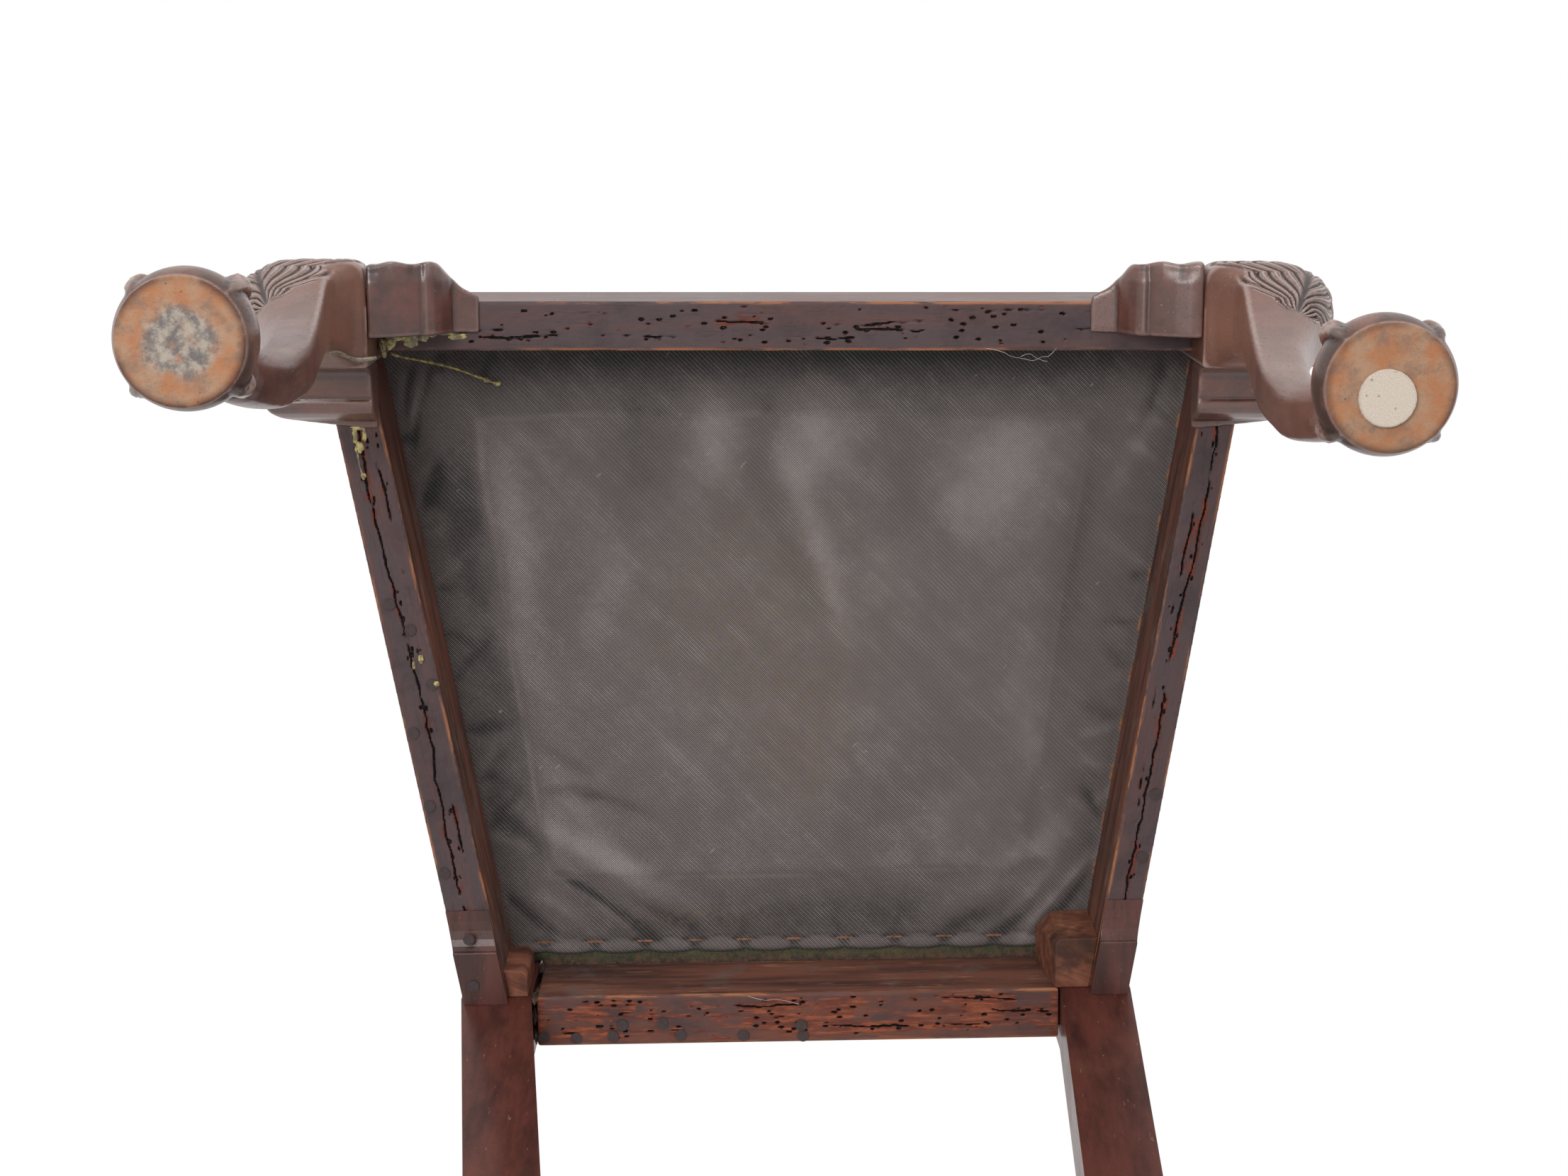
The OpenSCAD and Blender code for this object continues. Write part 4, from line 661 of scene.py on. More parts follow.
def jute(name, pitch, turn, colours):
    """Plain weave of coarse threads, each a rounded ridge that dips under every other crossing one."""
    material, f = new_finish(name)
    warp, weft = [f.maths("SINE", axis * math.pi) for axis in f.at((1 / pitch,) * 3, turn).parts()[:2]]
    over = f.maths("ABSOLUTE", warp) * f.maths("ABSOLUTE", weft)
    alternate = (warp * weft).between(-0.3, 0.3)
    dirt = f.cloud(f.at(), 40, 4, 0.6)
    colour = f.mix(*colours, over.between(0.1, 0.7))
    colour = f.mix(colour, colours[0], dirt.between(0.5, 0.8) * 0.5 + alternate * 0.12)
    f.surface(colour, 0.85, over + alternate * 0.25, 0.0004)
    return material


FRAME_IN, WEB_SHORT = 0.0155, 0.012
WEB_W, WEB_Z, WEB_T, WEAVE_UP = 0.05, 0.4461, 0.001, 0.0012
CROSS_YS = [y - MID_Y for y in (0.0937, 0.1779, 0.2621, 0.3463)]
LONG_XS = [0.0557 * n for n in (-2, -1, 0, 1, 2)]
webbing_jute = jute("webbing_jute", 0.0026, 0.0, ((0.24, 0.16, 0.09), (0.5, 0.37, 0.22)))


def side_x(y):
    """Half the chair's width over the side rails, at the CAD's own y."""
    return 0.280 - 0.175 * y


def web_level(at, lines, first):
    """Height of a strip's middle: over one crossing strip and under the next."""
    level = np.full(len(at), WEB_Z + WEAVE_UP / 2)
    for n, line in enumerate(lines):
        if (n + first) % 2 == 0:
            level += WEAVE_UP * (1 - rise(np.abs(at - line), WEB_W / 2, WEB_W / 2 + 0.004))
    return level


def web_strip(name, start, end, sideways, lines, first, along_x):
    """One strip of webbing from start to end along its run, centred at sideways across it."""
    steps = int((end - start) / 0.0025)
    at = np.linspace(start, end, steps)
    level = web_level(at, lines, first)
    verts = []
    for a, z in zip(at, level):
        for off in (-WEB_W / 2, 0, WEB_W / 2):
            verts.append((a, sideways + off, z) if along_x else (sideways + off, a, z))
    firsts = [3 * n + k for n in range(steps - 1) for k in (0, 1)]
    faces = [(k, k + 1, k + 4, k + 3) for k in firsts]
    piece = built(name, verts, faces)
    worked(piece, "SOLIDIFY", thickness=WEB_T, offset=0.0)
    bpy.ops.object.shade_smooth_by_angle(angle=math.radians(40))
    finish_with(piece, webbing_jute)
    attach(piece, "slip_seat")
    end - start
    return piece


for n, y in enumerate(CROSS_YS):
    half = side_x(y + MID_Y) - FRAME_IN - WEB_SHORT
    piece = web_strip("webbing_across_%d" % (n + 1), -half, half, y, LONG_XS, n, True)
    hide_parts("webbing_cross")
for n, x in enumerate(LONG_XS):
    piece = web_strip("webbing_long_%d" % (n + 1), 0.025 - MID_Y, 0.425 - MID_Y, x, CROSS_YS, n + 1, False)
    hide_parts("webbing_long")

material, f = new_finish("blued_tacks")
f.surface(f.mix((0.08, 0.075, 0.08), (0.03, 0.03, 0.035), f.cloud(f.at(), 300, 3, 0.6)), 0.4, Metallic=0.6)
finish_with(nodes["webbing_tacks"], material)

# Burlap, stuffing and seat cover
# Burlap lies on the webbing, then a crowned pad of hair and wadding. A green plain woven cloth is pulled
# over it, turned under the frame and tacked there; from below, only its edge shows behind the dust cover.

LIP, SEAT_GAP, COVER_T = 0.012, 0.0015, 0.0012
REAR_FACE, LEDGE_REAR, POST_IN = 0.428, 0.438, 0.164
WRAP_Z, FRAME_Z, BURLAP_Z, PAD_Z, CROWN = 0.4249, 0.4261, 0.4489, 0.4493, 0.034
SEAT_MID = (LIP + LEDGE_REAR) / 2
RING_PARTS = (40, 36, 4, 2, 30, 2, 4, 36)
STUFFING_BELOW, CORNER_BELOW = 0.0022, 0.0048


def seat_corners(inset):
    """Corners of the seat's outline from the left front, anticlockwise, in the CAD's own y."""
    y0, y1, y2 = LIP + inset, REAR_FACE - inset, LEDGE_REAR - inset
    skew = side_x(y0) * math.tan(FRONT_TURN)
    x0, x1, x2 = side_x(y0) - LIP - inset, side_x(y1) - LIP - inset, POST_IN - inset
    right = [(x0, y0 + skew), (x1, y1), (x2, y1), (x2, y2)]
    return np.array([(-x0, y0 - skew)] + right + [(-x2, y2), (-x2, y1), (-x1, y1)])


def seat_ring(inset, size, z, bow):
    """Points round the seat at a height; bow draws its long edges in between the corners."""
    corners, ring = seat_corners(inset), []
    for n, count in enumerate(RING_PARTS):
        a, b = corners[n], corners[(n + 1) % 8]
        inward = np.array([a[1] - b[1], b[0] - a[0]]) / np.hypot(*(b - a))
        for t in np.arange(count) / count:
            drawn_in = bow * math.sin(math.pi * t) if count > 9 else 0
            q = a + t * (b - a) + drawn_in * inward
            ring.append((size * q[0], SEAT_MID + size * (q[1] - SEAT_MID) - MID_Y, z))
    return ring


def lofted(name, rings):
    """A skin over rings of equally many points, closed at the last one."""
    count = len(rings[0])
    verts = [p for ring in rings for p in ring]
    verts.append(tuple(np.mean(rings[-1], 0)))
    last = (len(rings) - 1) * count
    faces = []
    for start in range(0, last, count):
        for k in range(count):
            n = (k + 1) % count
            faces.append((start + k, start + n, start + count + n, start + count + k))
    faces += [(last + k, last + (k + 1) % count, len(verts) - 1) for k in range(count)]
    return built(name, verts, faces)


def crowned(inset, up):
    """Rings over the stuffing from its rim to its crown; the rows follow the CAD's."""
    share = np.array([0, 0.12, 0.24, 0.38, 0.51, 0.63, 0.75, 0.86, 0.94, 0.985, 1])
    size = np.array([1, 1, 1, 0.997, 0.98, 0.94, 0.86, 0.73, 0.55, 0.33, 0.1])
    edge = np.array([0, 0.12, 0.24, 1, 1, 1, 1, 1, 1, 1, 1]) * 0.0025
    run = np.concatenate([[0], np.cumsum(np.hypot(np.diff(share) * CROWN, np.diff(size) * 0.2))])
    rings = []
    for t in np.linspace(0, run[-1], 34):
        s, w, e = [np.interp(t, run, row) for row in (share, size, edge)]
        rings.append(seat_ring(inset + e, w, PAD_Z + s * (CROWN + up), 0.003 * min(1, 4 * s)))
    return rings


def puffed(piece, held_below, cap):
    """Lets air press the skin outwards for a few frames; no point moves further than cap."""
    points = points_of(piece)
    group = piece.vertex_groups.new(name="held")
    group.add([n for n, p in enumerate(points) if p[2] < held_below], 1.0, "REPLACE")
    cloth = piece.modifiers.new("cloth", "CLOTH")
    cloth.settings.vertex_group_mass = "held"
    cloth.settings.use_pressure = True
    cloth.settings.uniform_pressure_force = 4
    cloth.settings.effector_weights.gravity = 0
    cloth.settings.quality = 6
    cloth.settings.mass = 0.3
    cloth.settings.tension_stiffness = 25
    cloth.settings.compression_stiffness = 25
    cloth.settings.bending_stiffness = 2
    cloth.point_cache.frame_start, cloth.point_cache.frame_end = 1, 20
    for step in range(1, 21):
        bpy.context.scene.frame_set(step)
    bpy.context.view_layer.objects.active = piece
    bpy.ops.object.modifier_apply(modifier="cloth")
    bpy.context.scene.frame_set(1)
    moved = points_of(piece) - points
    far = np.maximum(np.linalg.norm(moved, axis=1), 1e-9)
    set_points(piece, points + moved * np.minimum(1, cap / far)[:, None])


sizes = np.linspace(1, 0.02, 40)
burlap = lofted("burlap_sheet", [seat_ring(SEAT_GAP + COVER_T + 0.007, s, BURLAP_Z, 0) for s in sizes])
worked(burlap, "SOLIDIFY", thickness=0.0006, offset=0.0)
finish_with(burlap, jute("burlap_jute", 0.0016, 0.02, ((0.2, 0.14, 0.08), (0.46, 0.35, 0.22))))
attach(burlap, "slip_seat")
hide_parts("burlap")

rim = [seat_ring(SEAT_GAP + 0.026 * t, 1, WRAP_Z, 0) for t in (1, 0.66, 0.33, 0.08)]
sides = [seat_ring(SEAT_GAP, 1, z, 0) for z in np.linspace(WRAP_Z + 0.0008, PAD_Z - 0.003, 8)]
cover = lofted("seat_cover_cloth", rim + sides + crowned(SEAT_GAP, COVER_T))
puffed(cover, PAD_Z + 0.0005, 0.004)
points = points_of(cover)
top = rise(points[:, 2], PAD_Z, PAD_Z + 0.02)
soft = noises(points, (9, 9), 2.2) * 0.0012 + noises(points, (24, 24), 6.1) * 0.0004
points[:, 2] += top * (soft - 0.0008)
points[:, 2] = np.minimum(points[:, 2], PAD_Z + CROWN + COVER_T - 0.0002)
set_points(cover, points)
per_ring = sum(RING_PARTS)
corners = np.cumsum((0,) + RING_PARTS[:-1])
depth = np.where(np.isin(np.arange(len(points)) % per_ring, corners), CORNER_BELOW, STUFFING_BELOW)
below = points - depth[:, None] * normals_of(cover)
below = below[len(rim + sides) * per_ring:-1].reshape(-1, per_ring, 3)
below[:, :, 2] = np.maximum(below[:, :, 2], PAD_Z)
pad = lofted("stuffing", [[tuple(p) for p in ring] for ring in below])
row, column = np.divmod(edge_ends(cover), per_ring)
at_corner = np.isin(column[:, 0], corners)
upright = at_corner & (column[:, 0] == column[:, 1]) & (row.max(1) < len(rim + sides))
draw(cover, "crease_edge", upright, "EDGE")
worked(cover, "SUBSURF", levels=1, render_levels=1)
worked(cover, "SOLIDIFY", thickness=0.001, offset=-1.0)
bpy.ops.object.shade_smooth_by_angle(angle=math.radians(50))

picked(pad)
bpy.ops.object.mode_set(mode="EDIT")
bpy.ops.mesh.select_mode(type="VERT")
bpy.ops.mesh.select_all(action="DESELECT")
bpy.ops.mesh.select_non_manifold()
bpy.ops.mesh.edge_face_add()
bpy.ops.object.mode_set(mode="OBJECT")
bpy.ops.object.shade_smooth_by_angle(angle=math.radians(50))
material, f = new_finish("cotton_wadding")
fluff = f.cloud(f.at(), 300, 6, 0.8)
f.surface(f.mix((0.6, 0.55, 0.46), (0.8, 0.76, 0.68), fluff.between(0.3, 0.7)), 0.95, fluff, 0.0008)
finish_with(pad, material)
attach(pad, "slip_seat")
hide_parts("seat_pad")


def plain_weave(name, pitch, turn, low, high, nap):
    """Plain woven cloth: fine threads both ways with a little nap, worn in patches, and brown with dirt
    along its hem."""
    material, f = new_finish(name)
    axes = f.at((1 / pitch,) * 3, turn).parts()
    ridges = [f.maths("ABSOLUTE", f.maths("SINE", axis * math.pi)) for axis in axes]
    thread = ridges[0] * ridges[1] * 0.6 + ridges[2] * 0.2
    worn = f.cloud(f.at(), 16, 5, 0.6)
    slub = f.cloud(f.at((900, 60, 60), turn), 1, 3, 0.6)
    light = thread.between(0.1, 0.75) * 0.5 + slub.between(0.35, 0.7) * 0.3 + worn.between(0.4, 0.7) * 0.25
    colour = f.mix(low, high, light)
    dirt = f.cloud(f.at(), 260, 4, 0.7).between(0.35, 0.65)
    soiled = f.mix((0.022, 0.012, 0.009), (0.12, 0.055, 0.03), dirt)
    tuft = f.cloud(f.at(), 700, 3, 0.7)
    colour = f.mix(colour, (0.012, 0.014, 0.009), tuft.between(0.5, 0.36) * 0.8)
    patchy = 0.86 + f.cloud(f.at(), 150, 3, 0.6).between(0.4, 0.6) * 0.14
    colour = f.mix(colour, soiled, f.drawn("hem") * patchy)
    f.surface(colour, 0.82, thread + slub * 0.4, 0.00025, Sheen_Weight=nap, Sheen_Roughness=0.6)
    return material


green = plain_weave("green_woven_cloth", 0.0011, 0.03, (0.034, 0.05, 0.02), (0.1, 0.135, 0.05), 0.1)
finish_with(cover, green)
points = points_of(cover)
draw(cover, "hem", (points[:, 2] < FRAME_Z) * rise(points[:, 1], 0.1669, 0.1678))
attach(cover, "slip_seat")
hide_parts("seat_cover")

# Dust cover
# Black cotton cloth over the underside of the seat, stapled near its edges with copper-coloured staples.
# It is dusty and brown in the middle, hangs a little, and puckers where it is pulled tight at its edges.
# Its colour carries painted light and shade too: painted shade near the rails and along the front, a
# lighter painted tone over the frame's opening, and painted light and shade on the crests and furrows of
# its folds and puckers.

MM = 0.001
DUST_T, DUST_Z, DUST_FRONT, DUST_REAR, DUST_IN = 0.3, 424.3, 18.5, 421.3, 18.5
STAPLE_Y, STAPLE_GAP = 413.5, 32
WINDOW_FRONT, WINDOW_REAR = 57, 51
COLS, ROWS = 230, 186
THREAD_PITCH = 0.00146
u, v = [grid.ravel() for grid in np.meshgrid(np.linspace(-1, 1, COLS), np.linspace(0, 1, ROWS))]


def dust_side(y):
    """Half the cloth's width at y, in the CAD's millimetres, as all lengths of this section are."""
    return 280 - 0.175 * y - DUST_IN


y = DUST_FRONT + v * (DUST_REAR - DUST_FRONT)
x = u * dust_side(y)
y = y + (1 - v) * x * math.tan(FRONT_TURN)
from_side = dust_side(y) - np.abs(x)
from_front = y - DUST_FRONT - x * math.tan(FRONT_TURN)
from_rear = DUST_REAR - y
from_edge = np.minimum(np.minimum(from_side, from_front), from_rear)
flat = np.stack([x * MM, y * MM], 1)


def stroke(x0, y0, x1, y1, width, height):
    """A soft ridge, or furrow if height is negative, from one place to another."""
    length = math.hypot(x1 - x0, y1 - y0)
    along_x, along_y = (x1 - x0) / length, (y1 - y0) / length
    run = ((x - x0) * along_x + (y - y0) * along_y) / length
    off = (y - y0) * along_x - (x - x0) * along_y + 0.03 * length * np.sin(4 * run + x0)
    return height * bell(off, width) * rise(run, -0.25, 0.2) * (1 - rise(run, 0.7, 1.25))


FOLDS = (
    (-217, 41, -232, 96, 2.2, -1), (-223, 50, -234, 78, 3.5, 0.7), (-229, 42, -236, 82, 2.5, -0.9),
    (-235, 45, -239, 64, 2.5, 0.5), (-214, 102, -227, 132, 5, -0.9), (-227, 116, -231, 129, 4, 0.5),
    (-179, 33, -186, 47, 2.2, -0.6), (-202, 89, -196, 149, 9, -0.5), (-210, 34, -213, 45, 3, -0.6),
    (-193, 81, -183, 146, 3, 0.8), (-165, 327, -63, 399, 9, 0.75), (-150, 370, -84, 412, 2.8, -1),
    (-187, 380, -151, 408, 4, -0.9), (-104, 386, -57, 406, 4, -0.5), (-163, 382, -123, 411, 5, 0.6),
    (-132, 383, -104, 407, 3, 0.3), (-156, 314, -120, 317, 4, -0.5), (-177, 329, -158, 359, 6, -0.5),
    (-196, 356, -188, 386, 5, 0.6), (-189, 317, -182, 346, 7, -0.4), (197, 354, 145, 416, 4.5, 1),
    (188, 371, 163, 405, 4, -0.9), (176, 373, 128, 416, 4, -0.6), (163, 373, 113, 418, 4, 0.5),
    (159, 364, 134, 372, 5, -0.5), (188, 332, 82, 404, 12, 0.6), (202, 315, 194, 328, 3, 0.7),
    (192, 315, 184, 367, 8, -0.4), (122, 396, 97, 413, 4, -0.4), (-49, 59, -43, 117, 16, 0.7),
    (18, 60, 14, 118, 20, 0.7), (150, 83, 108, 146, 30, 0.7), (-94, 74, -91, 159, 18, -0.6),
    (-6, 97, 39, 214, 8, 0.6), (-17, 123, 24, 203, 7, -0.4), (-13, 65, -17, 112, 9, -0.4),
    (-79, 116, -118, 201, 14, 0.3), (-177, 89, -166, 227, 12, 0.5), (-155, 287, -129, 301, 4, -0.5),
    (-140, 309, -90, 332, 4, -0.6), (-156, 303, -86, 394, 12, 0.4), (72, 77, 82, 156, 16, -0.3),
    (192, 116, 166, 243, 14, -0.35), (-177, 227, -165, 347, 10, -0.5), (227, 64, 202, 137, 8, 0.4),
    (232, 48, 217, 90, 4, -0.7), (113, 286, 27, 356, 20, -0.3), (-219, 104, -196, 183, 8, -0.5),
    (145, 265, 167, 353, 10, 0.3), (-206, 115, -170, 345, 12, -0.6), (-40, 30, -150, 32, 9, -0.4),
    (-60, 27, 190, 30, 8, -0.45), (-120, 404, 150, 402, 12, -0.22),
)
folds = sum(stroke(*fold) for fold in FOLDS)
rng = np.random.default_rng(7)
for side in (-1, 1):
    for n in range(2, 11):
        y0 = DUST_FRONT + STAPLE_GAP * n + rng.uniform(-3, 3)
        x0 = side * (dust_side(y0) - 5.5)
        for height in (rng.uniform(0.25, 0.6), -rng.uniform(0.3, 0.6)):
            reach, drift = rng.uniform(12, 34), rng.uniform(-34, 14)
            folds = folds + stroke(x0, y0, x0 - side * reach, y0 + drift, rng.uniform(2.6, 4.5), height)
for n in range(11):
    x0 = STAPLE_GAP * (n - 5)
    folds = folds + stroke(x0, 412, x0 + rng.uniform(-9, 9), 412 - rng.uniform(9, 20), 3, -0.2)
folds = np.clip(folds, -1.2, 1.2)
window_at = np.where(x < 0, 59.3 - 0.049 * y, 60.4 - 0.023 * y)
inside = np.minimum(np.minimum(from_side - window_at, from_front - WINDOW_FRONT), from_rear - WINDOW_REAR)
inside = inside + 3 * noises(flat, (13, 13), 4.4)
window = rise(inside, -3, 5)
line = bell(inside, 1.5) * rise(from_edge, 30, 45)
scallop = np.abs(np.sin(math.pi * x / STAPLE_GAP)) ** 0.6 * (np.abs(x) < 180)
puff = bell(from_rear - 3.5, 3.8) * scallop
hang = 1.0 * window + 1.3 * folds + 0.9 * noises(flat, (14, 11), 3.3) * rise(from_edge, 14, 60)
hang = np.maximum(hang + 0.4, 0) * rise(from_edge, 6, 12) + 1.2 * puff
off_staple = np.abs((x + 5.5 * STAPLE_GAP) % STAPLE_GAP - STAPLE_GAP / 2)
pressed = (1 - rise(off_staple, 5, 8)) * (1 - rise(np.abs(y - STAPLE_Y), 1.2, 3.2)) * (np.abs(x) < 170)
side_edge = np.minimum(from_side, from_front)
pressed = np.maximum(pressed, 1 - rise(np.abs(side_edge - 5), 1.5, 3.5))
level = DUST_Z - hang * (1 - pressed) + 0.28 * pressed
y = y - (1 - scallop) * 1.6 * rise(v, 0.975, 1)
points = np.stack([x, y, level], 1) * MM - (0, MID_Y, 0)
faces = []
for r in range(ROWS - 1):
    for c in range(COLS - 1):
        k = r * COLS + c
        faces.append((k, k + COLS, k + COLS + 1, k + 1))
dust_cover = built("dust_cover_cloth", points.tolist(), faces)
# Painted light inside each puff between the staples, and painted shade round its rim.
lens = ((STAPLE_GAP / 2 - off_staple) / 13) ** 2 + ((from_rear - 4.5) / 5) ** 2
painted_puff_rim_shade = bell(lens - 1.35, 0.3) * (from_rear > 3)
in_row = (np.abs(x) < 176) * (from_rear < 20)
painted_puff_light_and_shade = in_row * (0.2 * (1 - rise(lens, 0.6, 1.1)) - 0.2 * painted_puff_rim_shade)
# Painted shadow of the front rail along the front, and a painted lightening along the sides.
top_shade = 0.16 * (1 - rise(from_front, 20, 55)) - 0.12 * (1 - rise(from_side, 40, 60))
# Painted light and shade: lighter over the frame's opening than over the frame members, which stand for the
# rails' shade, and lighter on fold crests than in their furrows.
draw(dust_cover, "tone", 0.4 + 0.16 * window + 0.36 * folds + painted_puff_light_and_shade - top_shade)
# Painted shade: darker within about 60 mm of the cloth's edges, next to the rails.
draw(dust_cover, "painted_edge_shade", 1 - rise(from_edge + 6 * noises(flat, (30, 30), 1.1), 8, 60))
brown = bell(x + 25, 75) * bell(y - 200, 75) + bell(x - 6, 30) * bell(y - 285, 45)
brown = brown + 0.8 * bell(x + 60, 60) * bell(y - 398, 7)
draw(dust_cover, "brown", np.clip(brown, 0, 1))
draw(dust_cover, "line", line * np.where(x < 0, 1.0, 0.6))
worked(dust_cover, "SOLIDIFY", thickness=DUST_T * MM, offset=-1.0)
bpy.ops.object.shade_smooth()

material, f = new_finish("black_cotton")
warp, weft, _ = f.at((1 / THREAD_PITCH,) * 3, 0.02).parts()
waver = f.cloud(f.at(), 30, 2, 0.5) * 1.4
waves = [f.maths("SINE", (axis + waver) * (2 * math.pi)) for axis in (warp, weft)]
dimple = (waves[0] * waves[1]).between(0.1, 0.6)
ridge = f.maths("SINE", (warp - weft) * math.pi).between(0.3, 0.95)
mottle = f.cloud(f.at(), 17, 5, 0.62)
small = f.cloud(f.at(), 62, 4, 0.65)
slant = f.cloud(f.at((12, 130, 1), 0.8), 1, 4, 0.6)
# tone brings the painted light and shade from the mesh, with random mottling added.
tone = f.drawn("tone") + mottle * 0.34 + small * 0.2 + slant * 0.16 - 0.34
# Painted shade near the cloth's edges.
tone = tone - f.drawn("painted_edge_shade") * (0.07 + mottle.between(0.3, 0.6) * 0.08)
low, middle, high = (0.03, 0.026, 0.025), (0.16, 0.131, 0.124), (0.36, 0.31, 0.3)
uneven = f.cloud(f.at((260, 900, 1), 0.02), 1, 1, 0.5) + f.cloud(f.at((900, 260, 1), 0.02), 1, 1, 0.5)
tone = tone + (uneven - 0.98) * 0.12
dust_and_painted_light = f.mix(f.mix(low, middle, tone.between(0.0, 0.5)), high, tone.between(0.45, 1.0))
stain = f.drawn("brown") * f.cloud(f.at(), 240, 4, 0.75).between(0.4, 0.6)
dust_and_painted_light = f.mix(dust_and_painted_light, (0.22, 0.15, 0.095), stain * 0.5)
dust_and_painted_light = f.mix(dust_and_painted_light, (0.3, 0.25, 0.22), f.drawn("line") * mottle.between(0.4, 0.55) * 0.5)
dust_and_painted_light = f.mix(dust_and_painted_light, (0.013, 0.011, 0.011), dimple * 0.85)
streaks = small.between(0.42, 0.62) * slant.between(0.4, 0.62)
dust_and_painted_light = f.mix(dust_and_painted_light, (0.46, 0.44, 0.43), ridge * (1 - dimple) * (0.17 + streaks * 0.2))
lint = f.specks(f.at(), 330, (0.14, 0.08), (0.95, 0.97))
thread = f.cloud(f.at((30, 9, 1), 0.8), 8, 2, 0.7).between(0.745, 0.76)
dust_and_painted_light = f.mix(dust_and_painted_light, (0.5, 0.47, 0.42), lint * 0.6 + thread * 0.3)
f.surface(dust_and_painted_light, 0.7, (1 - dimple) * 0.7 + ridge * 0.3, 0.0003, Sheen_Weight=0.05, Specular_IOR_Level=0.3)
finish_with(dust_cover, material)
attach(dust_cover, "slip_seat")
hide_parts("dust_cover")

material, f = new_finish("coppered_wire")
dull = f.cloud(f.at(), 300, 3, 0.6)
f.surface(f.mix((0.36, 0.15, 0.07), (0.16, 0.09, 0.06), dull.between(0.4, 0.65)), 0.45, Metallic=0.35)
finish_with(nodes["dust_cover_staples"], material)

# Old glue
# Yellow hide glue from an old repair: a crust and drops round the left front corner and on the left rail,
# thin runs on the leg and the rail, and a string of it that hangs in front of the dust cover. Dark older
# glue fills the open shoulders of the rear rail.


def tube(name, line, radius):
    """A thin round strand that runs along a line of points and is thicker and thinner by turns."""
    curve = bpy.data.curves.new(name, "CURVE")
    curve.dimensions = "3D"
    curve.bevel_depth = radius
    curve.bevel_resolution = 3
    curve.use_fill_caps = True
    spline = curve.splines.new("NURBS")
    spline.points.add(len(line) - 1)
    for n, (point, place) in enumerate(zip(spline.points, line)):
        point.co = (*place, 1)
        point.radius = 1 + 0.35 * math.sin(2.3 * n)
    spline.use_endpoint_u = True
    spline.order_u = 3
    strand = bpy.data.objects.new(name, curve)
    bpy.context.collection.objects.link(strand)
    picked(strand)
    bpy.ops.object.convert(target="MESH")
    return bpy.context.object


def blob(place, size):
    """A drop of glue of that half size, lumpy and flattened against what it sits on."""
    bpy.ops.object.select_all(action="DESELECT")
    bpy.ops.mesh.primitive_ico_sphere_add(subdivisions=4, radius=1)
    drop = bpy.context.object
    points = points_of(drop)
    lump = noise_at(points * 1.6 + np.array(place) * 90)
    set_points(drop, points * (1 + 0.45 * lump)[:, None] * np.array(size) * MM + place)
    bpy.ops.object.shade_smooth()
    return drop


def gathered(name, parts):
    """The parts joined into one piece."""
    bpy.ops.object.select_all(action="DESELECT")
    for part in parts:
        part.select_set(True)
    bpy.context.view_layer.objects.active = parts[0]
    bpy.ops.object.join()
    bpy.context.object.name = name
    return bpy.context.object


GLUE_DROPS = (
    ((-0.2335, -0.2362, 0.3618), (3.0, 4.4, 0.8)), ((-0.2296, -0.2388, 0.3618), (4.6, 2.2, 0.9)),
    ((-0.2216, -0.2370, 0.3619), (4.6, 4.4, 0.5)), ((-0.2142, -0.2388, 0.3619), (3.2, 2.6, 0.6)),
    ((-0.2090, -0.2402, 0.3612), (3.4, 1.4, 1.2)), ((-0.2000, -0.2406, 0.3617), (7.0, 0.8, 0.6)),
    ((-0.1935, -0.2388, 0.3619), (5.2, 1.8, 0.5)), ((-0.2380, -0.2335, 0.3617), (1.9, 4.2, 1.0)),
    ((-0.2374, -0.2292, 0.3617), (1.6, 2.6, 1.1)), ((-0.2549, -0.1856, 0.3617), (4.2, 1.5, 1.1)),
    ((-0.2569, -0.1806, 0.3619), (1.5, 4.2, 0.5)), ((-0.2513, -0.1812, 0.3619), (1.2, 4.0, 0.5)),
    ((-0.2547, -0.1738, 0.3619), (2.6, 3.4, 0.6)), ((-0.2529, -0.1563, 0.3617), (1.6, 2.0, 0.9)),
    ((-0.2234, -0.0441, 0.3616), (1.6, 2.6, 1.1)), ((-0.2150, -0.0286, 0.3616), (2.0, 1.9, 0.9)),
    ((-0.2279, -0.0405, 0.3618), (1.0, 2.2, 0.5)), ((-0.2590, -0.2372, 0.3034), (1.4, 1.2, 1.0)),
)
material, f = new_finish("hide_glue")
cloudy = f.cloud(f.at(), 230, 4, 0.65)
colour = f.mix((0.16, 0.12, 0.06), (0.5, 0.39, 0.12), cloudy.between(0.42, 0.6))
f.surface(colour, 0.35, cloudy, 0.0003, Subsurface_Weight=0.1, Coat_Weight=0.3)
drops = gathered("glue_drops", [blob(*drop) for drop in GLUE_DROPS])
finish_with(drops, material)
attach(drops, "chair")
smear, f = new_finish("thin_old_glue")
cloudy = f.cloud(f.at(), 260, 4, 0.65)
f.surface(f.mix((0.13, 0.1, 0.07), (0.27, 0.23, 0.16), cloudy.between(0.4, 0.6)), 0.4)
RUNS = (
    ((-0.2590, -0.2370, 0.3036), (-0.2553, -0.2361, 0.3077), (-0.2516, -0.2329, 0.3141),
     (-0.2464, -0.2302, 0.3193), (-0.2406, -0.2303, 0.3216), (-0.2360, -0.2312, 0.3220)),
    ((-0.2560, -0.1720, 0.3620), (-0.2556, -0.1670, 0.3620), (-0.2548, -0.1610, 0.3620),
     (-0.2533, -0.1570, 0.3620)),
)
runs = gathered("glue_runs", [tube("run_%d" % n, line, 0.0013 - 0.0007 * n) for n, line in enumerate(RUNS)])
finish_with(runs, smear)
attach(runs, "chair")
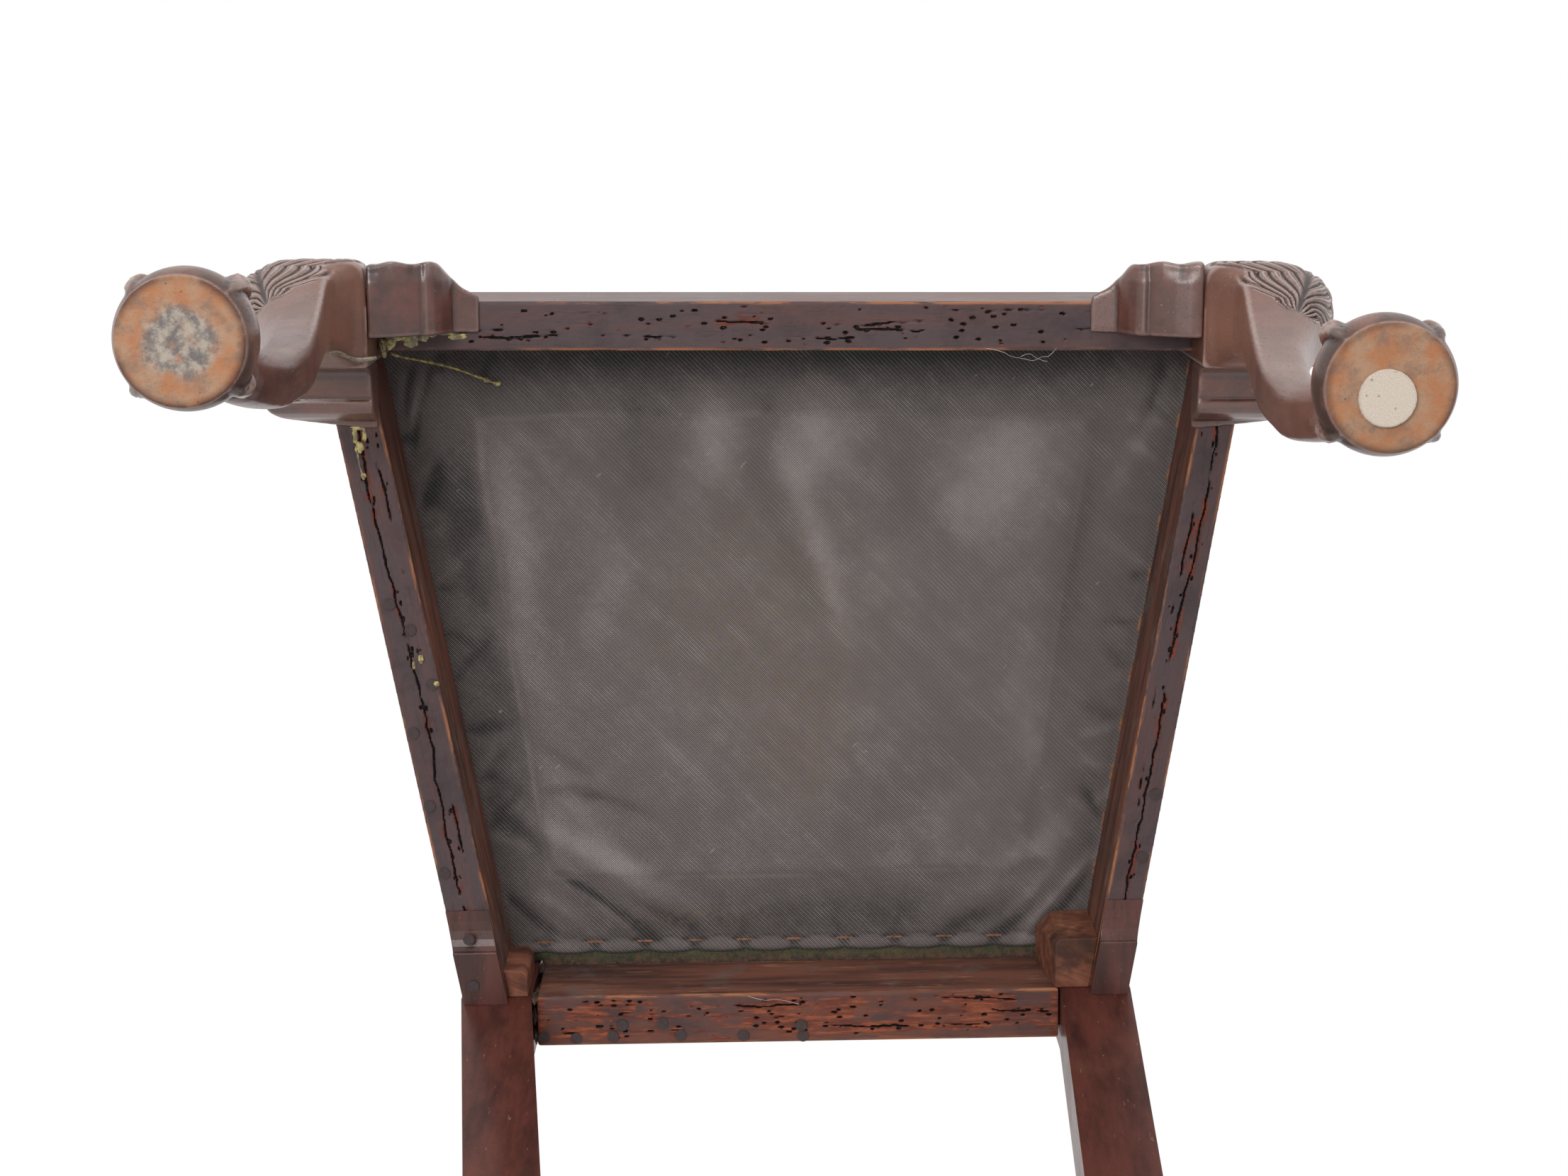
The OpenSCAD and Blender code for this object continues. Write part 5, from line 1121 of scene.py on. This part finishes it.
string = tube("glue_string", [
    (-0.2336, -0.2288, 0.3650), (-0.2290, -0.2262, 0.3720), (-0.2240, -0.2237, 0.3830),
    (-0.2160, -0.2204, 0.3960), (-0.2060, -0.2163, 0.4080), (-0.1960, -0.2116, 0.4160),
    (-0.1860, -0.2068, 0.4200), (-0.1775, -0.2036, 0.4212),
], 0.0009)
KNOTS = (((-0.1775, -0.2036, 0.4212), (2.2, 1.5, 1.3)), ((-0.1835, -0.2058, 0.4204), (2.4, 1.5, 1.3)))
string = gathered("glue_string", [string] + [blob(*knot) for knot in KNOTS])
finish_with(string, material)
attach(string, "chair")

material, f = new_finish("dark_old_glue")
cloudy = f.cloud(f.at(), 300, 4, 0.7)
f.surface(f.mix((0.03, 0.018, 0.012), (0.16, 0.1, 0.05), cloudy.between(0.5, 0.7)), 0.6)
CLOTS = tuple(((-0.1624, 0.1735 + 0.0035 * n, 0.366 + 0.016 * n), (1.8, 3.2, 9)) for n in range(5)) + (
    ((-0.1622, 0.1850, 0.3665), (1.8, 5.0, 3.5)), ((-0.1622, 0.1740, 0.4200), (2.0, 3.0, 8)),
    ((0.1628, 0.1775, 0.372), (1.1, 3, 7)), ((-0.1622, 0.1985, 0.3705), (1.8, 5.2, 8.5)),
)
clot = gathered("dark_glue", [blob(*one) for one in CLOTS])
finish_with(clot, material)
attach(clot, "chair")

# Lint
# A few pale fibres, as thin as hair, that have caught on the worm-eaten wood: two at the inner edge of the
# front rail and one under the rear rail.

LINT = (
    ((0.118, -0.2268, 0.3622), (0.128, -0.2250, 0.3618), (0.133, -0.2212, 0.3650), (0.142, -0.2196, 0.3660),
     (0.147, -0.2180, 0.3668), (0.152, -0.2212, 0.3655), (0.156, -0.2205, 0.3640), (0.160, -0.2262, 0.3621)),
    ((0.139, -0.2210, 0.3650), (0.144, -0.2240, 0.3640), (0.149, -0.2192, 0.3670), (0.155, -0.2178, 0.3660)),
    ((-0.030, 0.1730, 0.3618), (-0.020, 0.1768, 0.3612), (-0.012, 0.1745, 0.3614), (0.002, 0.1790, 0.3613)),
)
material, f = new_finish("pale_fibre")
f.surface((0.5, 0.47, 0.43, 1), 0.8)
lint = gathered("lint", [tube("lint_%d" % n, line, 0.00013) for n, line in enumerate(LINT)])
finish_with(lint, material)
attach(lint, "chair")

# Studio
# A pale floor that shows from above only, soft lamps all round and the photograph's camera, which looks
# up from below the chair's front.

bpy.ops.object.select_all(action="DESELECT")
bpy.ops.mesh.primitive_plane_add(size=12, location=(0, 0, -0.0006))
floor = bpy.context.object
floor.name = "floor"
material, f = new_finish("pale_floor")
far = f.node("ShaderNodeVectorMath", {"operation": "LENGTH"}, out=1, i0=f.at()).between(0.9, 2.4)
from_below = f.node("ShaderNodeNewGeometry", out="Backfacing")
seen = f.node("ShaderNodeLightPath", out="Is Camera Ray") * (1 - from_below) * (1 - far)
clear = f.node("ShaderNodeBsdfTransparent")
matt = f.node("ShaderNodeBsdfDiffuse", Color=(0.82, 0.82, 0.82, 1))
shown = f.node("ShaderNodeMixShader", i0=seen, i1=clear, i2=matt)
shown.shown_by("ShaderNodeOutputMaterial")
finish_with(floor, material)

world = bpy.data.worlds.new("studio_air")
bpy.context.scene.world = world
world.use_nodes = True
world.node_tree.nodes.clear()
f = Field(world.node_tree)
white = f.node("ShaderNodeLightPath", out="Is Camera Ray")
for kind in ("Is Glossy Ray", "Is Transmission Ray"):
    white = f.maths("MAXIMUM", white, f.node("ShaderNodeLightPath", out=kind))
air = f.node("ShaderNodeBackground", Color=(1, 1, 1, 1), Strength=0.5)
bright = f.node("ShaderNodeBackground", Color=(1, 1, 1, 1), Strength=1.0)
shown = f.node("ShaderNodeMixShader", i0=white, i1=air, i2=bright)
shown.shown_by("ShaderNodeOutputWorld")

for name, place, size, watts, mirrored in (
    ("key_lamp", (-0.95, -1.0, -2.0), 1.2, 33, True),
    ("front_lamp", (0.5, -2.5, -0.2), 1.8, 32, True),
    ("left_lamp", (-2.4, -0.4, 1.1), 1.4, 18, False),
    ("right_lamp", (2.4, -0.2, 1.1), 1.4, 18, False),
    ("back_lamp", (0.2, 2.4, 1.3), 1.6, 26, False),
    ("top_lamp", (0.0, 0.4, 2.9), 1.8, 40, False),
):
    bpy.ops.object.light_add(type="AREA", location=place)
    lamp = bpy.context.object
    lamp.name = name
    lamp.data.size = size
    lamp.data.energy = watts
    lamp.visible_glossy = mirrored
    lamp.rotation_euler = (Vector((0, 0, 0.38)) - Vector(place)).to_track_quat("-Z", "Y").to_euler()

camera = bpy.data.objects.new("camera", bpy.data.cameras.new("camera"))
bpy.context.collection.objects.link(camera)
camera.data.sensor_width = 36
camera.data.lens = 60.97
camera.data.clip_start = 0.05
camera.rotation_mode = "QUATERNION"
camera.location = (-0.008944, -0.391947, -1.205695)
camera.rotation_quaternion = (0.0967333, 0.9952748, 0.0080261, -0.0025229)
bpy.context.scene.camera = camera
bpy.context.scene.view_settings.view_transform = "Standard"
